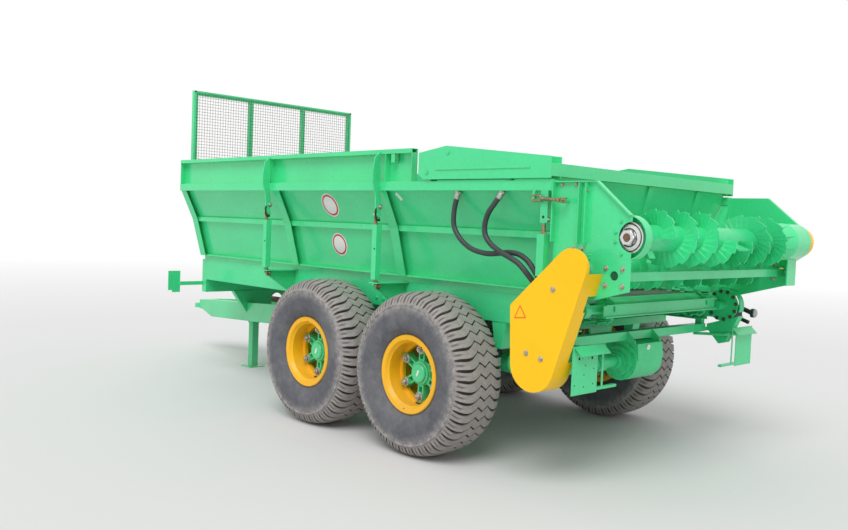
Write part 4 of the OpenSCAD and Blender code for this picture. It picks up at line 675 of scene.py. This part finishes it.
# Hydraulic hoses on the routes of their CAD nodes
hose = {
    "r": 0.0165, "sides": 18,
    "front": [(5.036, -1.046, 1.725), (5.026, -1.046, 1.69), (5.008, -1.046, 1.63), (5.000, -1.046, 1.56),
              (5.008, -1.046, 1.5), (5.04, -1.046, 1.45), (5.09, -1.046, 1.405), (5.16, -1.046, 1.368),
              (5.24, -1.046, 1.348), (5.32, -1.046, 1.342), (5.4, -1.046, 1.35), (5.48, -1.046, 1.358),
              (5.55, -1.046, 1.35), (5.61, -1.046, 1.322), (5.655, -1.046, 1.28), (5.684, -1.038, 1.238),
              (5.708, -1.022, 1.2), (5.73, -1.004, 1.165), (5.74, -0.99, 1.13)],
    "rear": [(5.404, -1.048, 1.725), (5.39, -1.054, 1.695), (5.362, -1.066, 1.65), (5.33, -1.082, 1.595),
             (5.312, -1.088, 1.54), (5.306, -1.088, 1.495), (5.318, -1.088, 1.45), (5.35, -1.088, 1.412),
             (5.4, -1.088, 1.38), (5.46, -1.088, 1.352), (5.52, -1.086, 1.328), (5.575, -1.08, 1.3),
             (5.615, -1.07, 1.262), (5.642, -1.05, 1.222), (5.662, -1.028, 1.185), (5.682, -1.006, 1.155),
             (5.69, -0.99, 1.13)],
}


def smoothPath(points, steps=5):  # a curve through points given by x, y and height
    pts = [Vector((x, y, up(height))) for x, y, height in points]
    out = []
    for i in range(len(pts) - 1):
        a, b, c, d = pts[max(i - 1, 0)], pts[i], pts[i + 1], pts[min(i + 2, len(pts) - 1)]
        for k in range(steps):
            t = k / steps
            out.append(0.5 * (2 * b + (c - a) * t + (2 * a - 5 * b + 4 * c - d) * t * t
                              + (3 * b - a - 3 * c + d) * t ** 3))
    return out + [pts[-1]]


def makeHoses(p):
    for label in ("front", "rear"):
        path = smoothPath(p[label])
        bm = bmesh.new()
        tube(bm, path, p["r"], p["sides"])
        for end, nxt in ((path[0], path[4]), (path[-1], path[-5])):
            d = (nxt - end).normalized()
            lathe(bm, end, d, [(0.0185, 0.0), (0.0205, 0.001), (0.0205, 0.016), (0.0185, 0.017)], 6, 1)
            lathe(bm, end, d, [(0.0172, 0.016), (0.0185, 0.018), (0.0185, 0.036), (0.0178, 0.038), (0.0185, 0.04),
                               (0.0185, 0.052), (0.017, 0.054)], 20, 1)
        finishPiece("hoseRun." + label, bm, ["hoseRubber", "zincPlate"],
                    replaced=["hose_" + label], angle=50)


makeHoses(hose)
print("hoses made")

# Blank round signs and the slanted sticker on the left wall; its panels lean out above and below the bend
wall = {"foot": (0.8, 1.13), "knee": (0.893, 1.47), "top": (1.024, 1.725)}  # y and height
signs = {"discs": [(3.623, 1.621, 0.096), (3.606, 1.325, 0.09)], "sticker": (4.431, 1.6875, 0.066, 0.026),
         "gearboxLabel": (5.869, -0.1, 0.763), "labelTilt": -12, "triangleY": -1.1951,
         "triangle": [(5.656, 0.99), (5.749, 1.000), (5.6985, 1.074)]}


def wallFrame(height):  # y, slope and outward direction of the left wall's sheet at a height
    low, high = ("knee", "top") if height > wall["knee"][1] else ("foot", "knee")
    (y0, h0), (y1, h1) = wall[low], wall[high]
    t = (height - h0) / (h1 - h0)
    slope = Vector((0, y0 - y1, h1 - h0)).normalized()
    return -(y0 + (y1 - y0) * t), slope, Vector((0, -slope.z, -abs(slope.y)))


def makeSigns(p):
    bm = bmesh.new()
    for x, height, r in p["discs"]:
        y, _, out = wallFrame(height)
        at = Vector((x, y, up(height))) + out * 0.0002
        for share, low, mat in ((1.0, 0, 0), (0.9, 0.001, 1), (0.745, 0.0014, 0)):
            edge = r * share
            lathe(bm, at, out, [(edge, low), (edge, low + 0.0006), (edge - 0.0006, low + 0.0009)], 64, mat)
    finishPiece("roundSigns", bm, ["signWhite", "signRed"])
    bm = bmesh.new()
    x, height, length, width = p["sticker"]
    y, slope, out = wallFrame(height)
    along = (Vector((0.038, 0, 0)) - slope * 0.047).normalized()
    plate(bm, Vector((x, y, up(height))) + out * 0.0002, along, out.cross(along),
          roundedRect(length, width, 0.002), 0.0008)
    finishPiece("wallSticker", bm, ["labelWhite"])
    bm = bmesh.new()
    tilt = math.radians(p["labelTilt"])
    u = Vector((0, math.cos(tilt), math.sin(tilt)))
    v = Vector((0.12, -math.sin(tilt), math.cos(tilt))).normalized()
    x, y, height = p["gearboxLabel"]
    plate(bm, (x, y, up(height)), u, v, roundedRect(0.034, 0.05, 0.003), 0.0008)
    finishPiece("gearboxLabel", bm, ["labelWhite"])
    bm = bmesh.new()
    corners = [Vector((x, h)) for x, h in p["triangle"]]
    middle = sum(corners, Vector((0, 0))) / 3
    for share, low, mat in ((1.0, 0.0, 0), (0.72, 0.0004, 1)):
        outline = []
        for k in range(3):
            at = middle + (corners[k] - middle) * share
            before = (corners[k - 1] - corners[k]).normalized() * 0.006
            after = (corners[(k + 1) % 3] - corners[k]).normalized() * 0.006
            outline += [tuple(at + before), tuple(at + before * 0.3 + after * 0.3), tuple(at + after)]
        plate(bm, (0, p["triangleY"] - low, ground), (1, 0, 0), (0, 0, 1), outline, 0.0005, mat)
    finishPiece("warningTriangle", bm, ["signOrange", "yellowGuard"])


makeSigns(signs)
print("signs made")

# Bolts on the frame: x and height of each head, but x, y and z of the guard's three
bolts = {
    "guard": [(5.926, -1.195, 0.698), (5.757, -1.195, 0.324), (5.862, -1.195, 0.305)],
    "cheek": [(5.84, 1.76), (5.938, 1.76), (5.989, 1.404), (5.931, 1.408)], "cheekY": 1.036,
    "seam": (6.0165, 1.056, 1.727),
    "seat": [(6.154, 1.308), (6.2605, 1.308), (6.154, 1.215), (6.2605, 1.215)], "seatInY": 1.028,
    "cup": [(6.238, 1.563), (6.206, 1.503), (6.206, 1.452), (6.248, 1.388)], "cupY": -1.0355,
    "pivot": [(4.01, 0.951), (4.085, 0.948)], "pivotPlate": (4.055, 0.8002, 0.942, 0.008),
    "pivotOutline": [(-0.09, -0.045), (0.09, -0.045), (0.09, 0.005), (0.072, 0.03), (0.035, 0.042), (-0.02, 0.043),
                     (-0.065, 0.03), (-0.09, 0.0)],
    "drive": {"x": 5.9, "high": 1.0107, "ringR": 0.1, "count": 12, "outY": 0.8145, "inY": 0.8001, "inFrom": 5.8},
    "gearbox": {"x": 5.74, "high": 0.68, "rings": [(-0.255, 0.086, 8), (-0.23, 0.114, 8)]},
}


def makeBolts(p):
    bm = bmesh.new()
    for x, y, z in p["guard"]:
        hexBolt(bm, (x, y, z), (0, -1, 0), 0.0115, 0.008, 1.5, turn=x * 7)
    for s in (-1, 1):
        for x, height in p["cheek"]:
            hexBolt(bm, (x, s * p["cheekY"], up(height)), (0, s, 0), 0.009, 0.008, 1.45, 0.006, x)
        x, y, height = p["seam"]
        hexBolt(bm, (x, s * y, up(height)), (1, 0, 0), 0.0085, 0.008, stud=0.005)
        for x, height in p["seat"]:
            hexBolt(bm, (x, s * p["cheekY"], up(height)), (0, s, 0), 0.0105, 0.01, 1.45, 0.006, x)
            hexBolt(bm, (x, s * p["seatInY"], up(height)), (0, -s, 0), 0.0105, 0.01, 1.45, 0.008, x)
    finishPiece("frameBolts", bm, ["rustyZinc"])
    bm = bmesh.new()
    drive = p["drive"]
    for i in range(drive["count"]):
        a = tau * (i + 0.3) / drive["count"]
        x, z = drive["x"] + drive["ringR"] * math.cos(a), up(drive["high"]) + drive["ringR"] * math.sin(a)
        hexBolt(bm, (x, drive["outY"], z), (0, 1, 0), 0.0105, 0.01, 0, 0.006, a)
        if x > drive["inFrom"]:
            hexBolt(bm, (x, drive["inY"], z), (0, -1, 0), 0.0105, 0.011, 1.3, 0.009, a)
    finishPiece("driveBolts", bm, ["darkBolt"])
    bm = bmesh.new()
    gearbox = p["gearbox"]
    for y, ringR, count in gearbox["rings"]:
        for i in range(count):
            a = tau * (i + 0.5) / count
            at = (gearbox["x"] + ringR * math.cos(a), y, up(gearbox["high"]) + ringR * math.sin(a))
            hexBolt(bm, at, (0, -1, 0), 0.0085, 0.007, 0, turn=a)
    for x, height in p["cup"]:
        hexBolt(bm, (x, p["cupY"], up(height)), (0, -1, 0), 0.0085, 0.007, 1.3, turn=x)
    plateX, plateY, plateH, thick = p["pivotPlate"]
    for s in (-1, 1):
        outline = [(-s * a, b) for a, b in p["pivotOutline"]][::s]
        plate(bm, (plateX, s * plateY, up(plateH)), (-s, 0, 0), (0, 0, 1), outline, thick)
        for x, height in p["pivot"]:
            hexBolt(bm, (x, s * (plateY + thick), up(height)), (0, s, 0), 0.01, 0.008, turn=x)
    finishPiece("flangeBolts", bm, ["greenRotor"])


makeBolts(bolts)
print("bolts made")

# Left bearing: turned rings, shaft nut with the rusty shaft end, and the cheek's lip in front of the cup
bearing = {"x": 6.275, "high": 1.478, "face": 1.007, "cupR": 0.1168, "lipEdge": 6.305,
           "lipY": (-1.0315, -1.0362), "notch": (6.308, 1.481, 0.0825), "seatHole": (6.207, -1.0288, 1.269),
           "rings": [(0.087, -0.0005), (0.0879, 0.001), (0.0879, 0.007), (0.0866, 0.0086), (0.08, 0.009),
                     (0.0786, 0.0076), (0.0782, 0.003), (0.0722, 0.003), (0.0718, 0.0082), (0.0704, 0.01),
                     (0.062, 0.0106), (0.056, 0.0122), (0.0522, 0.0116), (0.05, 0.006), (0.044, 0.005),
                     (0.032, 0.005)]}


def makeBearings(p):
    at = Vector((p["x"], -p["face"], up(p["high"])))
    bm = bmesh.new()
    lathe(bm, at, (0, -1, 0), p["rings"], 72)
    finishPiece("bearingRings", bm, ["turnedSteel"])
    # dark rings in the ring groove and in the gap round the hub: painted shade
    bm = bmesh.new()
    for outer, inner, depth in ((0.0784, 0.072, 0.0032), (0.0504, 0.044, 0.0062)):
        lathe(bm, at, (0, -1, 0), [(outer, depth), (outer, depth + 0.0004), (inner, depth + 0.0004), (inner, depth)],
              72, closed=True)
    finishPiece("bearingGapShade", bm, ["darkBolt"])
    bm = bmesh.new()
    lathe(bm, at, (0, -1, 0), [(0.045, 0.0054), (0.045, 0.029), (0.0425, 0.0312)], 6)
    lathe(bm, at, (0, -1, 0), [(0.0385, 0.03), (0.038, 0.0322), (0.0235, 0.0322), (0.0225, 0.0312)], 48)
    lathe(bm, at, (0, -1, 0), [(0.0205, 0.03), (0.0205, 0.0335), (0.019, 0.0348), (0.006, 0.0348),
                               (0.0045, 0.0338)], 40, 1)
    finishPiece("shaftEnd", bm, ["turnedSteel", "rustySteel"], "upper_auger")
    bm = bmesh.new()
    nx, nHigh, nr = p["notch"]
    inY, outY = p["lipY"]
    a0 = math.acos((p["lipEdge"] - p["x"]) / p["cupR"])
    b0 = math.acos((p["lipEdge"] - nx) / nr)
    stations = []
    for i in range(41):
        a = a0 + (tau - 2 * a0) * i / 40
        b = b0 + (tau - 2 * b0) * i / 40
        outer = Vector((p["x"] + p["cupR"] * math.cos(a), 0, up(p["high"]) + p["cupR"] * math.sin(a)))
        inner = Vector((nx + nr * math.cos(b), 0, up(nHigh) + nr * math.sin(b)))
        stations.append([bm.verts.new(v + Vector((0, y, 0)))
                         for v, y in ((outer, inY), (outer, outY), (inner, outY), (inner, inY))])
    for a, b in zip(stations, stations[1:]):
        bridge(bm, a, b)
    cap(bm, stations[0])
    cap(bm, stations[-1][::-1])
    finishPiece("cupLip", bm, ["greenPanel"])
    # the seat's hole is a dark green disc: painted shade
    bm = bmesh.new()
    x, y, height = p["seatHole"]
    lathe(bm, (x, y, up(height)), (0, -1, 0), [(0.0243, -0.0006), (0.0243, 0.0002), (0.0238, 0.0004)], 32)
    finishPiece("seatHole", bm, ["seatHoleShade"])


makeBearings(bearing)
print("bearings made")

# Adjusting rod between the rail and the left cheek, with slotted ends
latch = {"y": 1.088, "from": (5.66, 1.683), "to": (5.905, 1.669), "r": 0.01}


def makeLatch(p):
    bm = bmesh.new()
    a, b = [Vector((x, -p["y"], up(height))) for x, height in (p["from"], p["to"])]
    d = (b - a).normalized()
    v = Vector((0, -1, 0)).cross(d)
    tube(bm, [a + d * 0.068, b - d * 0.044], p["r"], 14)
    ringTube(bm, a + d * 0.037, (0, 1, 0), 0.015, 0.0068, 28, 10, stretch=tuple(d * 0.018))
    for offset in (-0.012, 0.012):
        plate(bm, b - d * 0.026 + v * offset + Vector((0, 0.007, 0)), d, v, roundedRect(0.06, 0.0075, 0.0035), 0.014)
    lathe(bm, b - d * 0.05 - v * 0.012, v, [(0.0105, 0), (0.0105, 0.024)], 16)
    hexBolt(bm, b - d * 0.012 + Vector((0, -0.008, 0)), (0, -1, 0), 0.0105, 0.008, stud=0.006)
    finishPiece("latchRod", bm, ["brassEye"], bevel=0.001)
    bm = bmesh.new()
    box(bm, (a.x + 0.01, -p["y"] - 0.004, a.z - 0.006), (a.x + 0.022, -1.062, up(1.726)))
    box(bm, (b.x - 0.022, -p["y"] - 0.004, b.z - 0.006), (b.x - 0.01, -1.03, b.z + 0.006))
    finishPiece("latchLugs", bm, ["greenPanel"], bevel=0.001)


makeLatch(latch)
print("latch rod made")

# Wall struts: dark clevis, eyes, threaded ends and nuts, a dark disc of painted shade for the hole in each tube and
# weld beads beside the bracket
strut = {"x": [2.95, 4.3], "y": 1.08, "eyeH": 1.54, "tubeTop": 1.49, "footNutH": 1.092, "footEyeH": 1.066,
         "boltH": 1.612, "boltY": 1.066, "clevisBoltH": 1.555, "holeH": 1.322,
         "bow": [(0.026, 1.6), (0.03, 1.578), (0.029, 1.552), (0.021, 1.53), (0.006, 1.519), (-0.012, 1.522)],
         "rearX": 5.742, "rearY": 1.068, "rearNutH": 1.474, "rearScrewH": 1.476, "rearBoltH": 1.56,
         "rearHole": (5.74, 1.0736, 1.574), "beads": [(1.915, 1.8), (1.79, 1.74)]}


def makeStrutEyes(p):
    upright = Vector((0, 0, 1))
    bm = bmesh.new()
    for s in (-1, 1):
        for x in p["x"]:
            eye = Vector((x - 0.004, s * p["y"], up(p["eyeH"])))
            ringTube(bm, eye, (1, 0, 0), 0.019, 0.0075, 20, 10)
            top = Vector((x - 0.018, s * p["y"], up(p["tubeTop"])))
            lathe(bm, top - upright * 0.002, upright, [(0.0115, 0), (0.0115, 0.036)], 14)
            lathe(bm, top - upright * 0.001, upright, [(0.018, 0), (0.018, 0.012), (0.0165, 0.014)], 6)
            lathe(bm, (x, s * p["y"], up(p["footNutH"])), upright, [(0.0165, 0), (0.0175, 0.002), (0.0175, 0.012)], 6)
            low = Vector((x + 0.0165, s * (p["y"] - 0.012), up(p["footEyeH"])))
            ringTube(bm, low, (1, 0, 0), 0.019, 0.0085, 20, 10)
            hexBolt(bm, low + Vector((0.006, 0, 0)), (1, 0, 0), 0.015, 0.013, 1.35, 0.01)
        x, y = p["rearX"], s * p["rearY"]
        lathe(bm, (x, y, up(p["rearNutH"])), upright, [(0.0185, 0), (0.0185, 0.014), (0.017, 0.016)], 6)
        lathe(bm, (x, y, up(p["rearScrewH"])), upright, [(0.0116, 0), (0.0116, 0.063)], 14)
    finishPiece("strutEyes", bm, ["brassEye"])
    bm = bmesh.new()
    for s in (-1, 1):
        for x in p["x"]:
            hexBolt(bm, (x - 0.03, s * p["y"], up(p["clevisBoltH"])), (-1, 0, 0), 0.013, 0.01, stud=0.005)
            hexBolt(bm, (x + 0.0065, s * p["boltY"], up(p["boltH"])), (1, 0, 0), 0.0135, 0.011, 1.5, 0.006)
        at = (p["rearX"] + 0.0265, s * (p["rearY"] - 0.006), up(p["rearBoltH"]))
        hexBolt(bm, at, (1, 0, 0), 0.0095, 0.008, stud=0.006)
    finishPiece("strutBolts", bm, ["zincPlate"])
    bm = bmesh.new()
    for s in (-1, 1):
        for x in p["x"]:
            tube(bm, smoothPath([(x + 0.013, s * (p["y"] + w), h) for w, h in p["bow"]]), 0.0065, 12)
    finishPiece("strutClevis", bm, ["darkRust"])
    # the holes in the tubes are near-black discs: painted shade
    bm = bmesh.new()
    for s in (-1, 1):
        for x in p["x"]:
            lathe(bm, (x + 0.006, s * (p["y"] + 0.0226), up(p["holeH"])), (0, s, 0),
                  [(0.0068, 0), (0.0068, 0.0008), (0.006, 0.001)], 16)
        x, y, height = p["rearHole"]
        lathe(bm, (x, s * y, up(height)), (0, s, 0), [(0.0085, 0), (0.0085, 0.0008), (0.0075, 0.001)], 16)
    finishPiece("strutHoles", bm, ["holeShade"])
    bm = bmesh.new()
    for s in (-1, 1):
        for x in p["x"]:
            for high, low in p["beads"]:
                path = []
                for i in range(13):
                    t = i / 12
                    swell = 0.0022 * math.sin(t * 37)
                    path.append((x + 0.0078 + swell * 0.4, s * (p["y"] - 0.006 + swell), up(high + (low - high) * t)))
                tube(bm, path, 0.0042, 8)
    finishPiece("bracketBeads", bm, ["greenRotor"])


makeStrutEyes(strut)
print("strut eyes made")

# Marker lamp: grey lens at the end of the right-hand rubber arm
lamp = {"x": 6.0365, "y": 1.03, "high": 0.956,
        "lens": [(0.03, -0.004), (0.03, 0.002), (0.026, 0.006), (0.012, 0.009), (0.002, 0.01)]}


def makeLamp(p):
    bm = bmesh.new()
    lathe(bm, (p["x"], p["y"], up(p["high"])), (1, 0, 0), p["lens"], 32)
    finishPiece("lampLens", bm, ["lampLens"])


makeLamp(lamp)

# Small holes in the left lamp plate, drawn as dark discs of painted shade: distance from the middle, height, radius
holes = {"x": 5.9961, "spots": [(1.018, 0.79, 0.0085), (0.895, 0.787, 0.0085), (0.958, 0.748, 0.0045),
                                (0.876, 0.724, 0.0045), (0.968, 0.695, 0.0045), (0.88, 0.637, 0.0045),
                                (1.055, 0.642, 0.0045), (0.967, 0.627, 0.0045), (0.987, 0.789, 0.003),
                                (0.927, 0.787, 0.003)]}


def makeHoles(p):
    bm = bmesh.new()
    for y, height, r in p["spots"]:
        lathe(bm, (p["x"] - 0.0016, -y, up(height)), (1, 0, 0), [(r, 0), (r, 0.0018), (r - 0.001, 0.002)], 16)
    finishPiece("plateHoles", bm, ["holeShade"])


makeHoles(holes)

# Stub of square tube under the extension's end, bar to the right-hand lamp plate, bent hook by the guard
extras = {"stub": ((4.41, 1.034, 1.915), (4.446, 1.07, 1.976)), "stubWall": 0.004, "barR": 0.0105, "hookR": 0.0045,
          "bar": [(5.705, 0.772, 0.79), (5.8, 0.787, 0.796), (5.9, 0.788, 0.803), (5.96, 0.794, 0.809),
                  (5.989, 0.845, 0.812)],
          "hook": [(6.046, -1.038, 1.352), (6.054, -1.07, 1.352), (6.062, -1.088, 1.355), (6.078, -1.09, 1.373),
                   (6.096, -1.09, 1.375)]}


def makeExtras(p):
    bm = bmesh.new()
    (x0, y0, h0), (x1, y1, h1) = p["stub"]
    for s in (-1, 1):
        t = p["stubWall"]
        near, far = sorted((s * y0, s * y1))
        for ya, yb, low, high in ((near, near + t, h0, h1), (far - t, far, h0, h1),
                                  (near + t, far - t, h1 - t, h1), (near + t, far - t, h0, h0 + t)):
            box(bm, (x0, ya, up(low)), (x1, yb, up(high)))
    finishPiece("tubeStub", bm, ["greenPanel"], bevel=0.0008)
    bm = bmesh.new()
    tube(bm, smoothPath(p["bar"]), p["barR"], 16)
    finishPiece("lampBar", bm, ["greenFrame"])
    bm = bmesh.new()
    tube(bm, smoothPath(p["hook"]), p["hookR"], 10)
    finishPiece("guardHook", bm, ["greenPanel"])


makeExtras(extras)
print("small parts made")

# Studio: pale floor that turns white far away, white backdrop, even sky and one broad soft sun
studio = {"sky": 0.7, "sun": 1.85, "sunAngle": 35, "sunFrom": (0.55, -0.85, 1.25), "floor": 0.68}


def makeStudio(p):
    world = bpy.data.worlds.new("studioSky")
    world.use_nodes = True
    tree = world.node_tree
    tree.nodes.clear()
    path = addNode(tree, "ShaderNodeLightPath").outputs
    seen = maths(tree, "MAXIMUM", path["Is Camera Ray"], maths(tree, "MAXIMUM", path["Is Glossy Ray"],
                                                              path["Is Transmission Ray"]))
    strength = ramp(tree, seen, 0, 1, p["sky"], 1.0)
    back = addNode(tree, "ShaderNodeBackground", {"Color": (1, 1, 1, 1), "Strength": strength})
    addNode(tree, "ShaderNodeOutputWorld", {0: back.outputs[0]})
    bpy.context.scene.world = world

    sun = bpy.data.lights.new("softSun", "SUN")
    sun.energy = p["sun"]
    sun.angle = math.radians(p["sunAngle"])
    obj = addObject("softSun", sun)
    obj.rotation_mode = "QUATERNION"
    obj.rotation_quaternion = Vector(p["sunFrom"]).to_track_quat("Z", "Y")

    mat, tree, shader = startMaterial("paleFloor", (p["floor"],) * 3, {"Roughness": 0.9})
    where = addNode(tree, "ShaderNodeNewGeometry").outputs["Position"]
    away = addNode(tree, "ShaderNodeVectorMath", {0: where, 1: (4.2, 0, ground)}, operation="DISTANCE")
    fade = ramp(tree, away.outputs["Value"], 7, 22)
    glow = addNode(tree, "ShaderNodeEmission", {"Color": (1, 1, 1, 1), "Strength": 1.0})
    mix = addNode(tree, "ShaderNodeMixShader", {0: fade, 1: shader.outputs[0], 2: glow.outputs[0]})
    setInputs(tree.get_output_node("ALL"), {0: mix.outputs[0]})
    bm = bmesh.new()
    middle = Vector((4.2, 0, ground - 0.0005))
    cap(bm, ringLoop(bm, middle, Vector((1, 0, 0)), Vector((0, 1, 0)), 90.0, 96))
    data = bpy.data.meshes.new("studioFloor")
    bm.to_mesh(data)
    bm.free()
    data.materials.append(mat)
    floor = addObject("studioFloor", data)


makeStudio(studio)
bpy.context.scene.view_settings.view_transform = "Standard"
print("studio made")
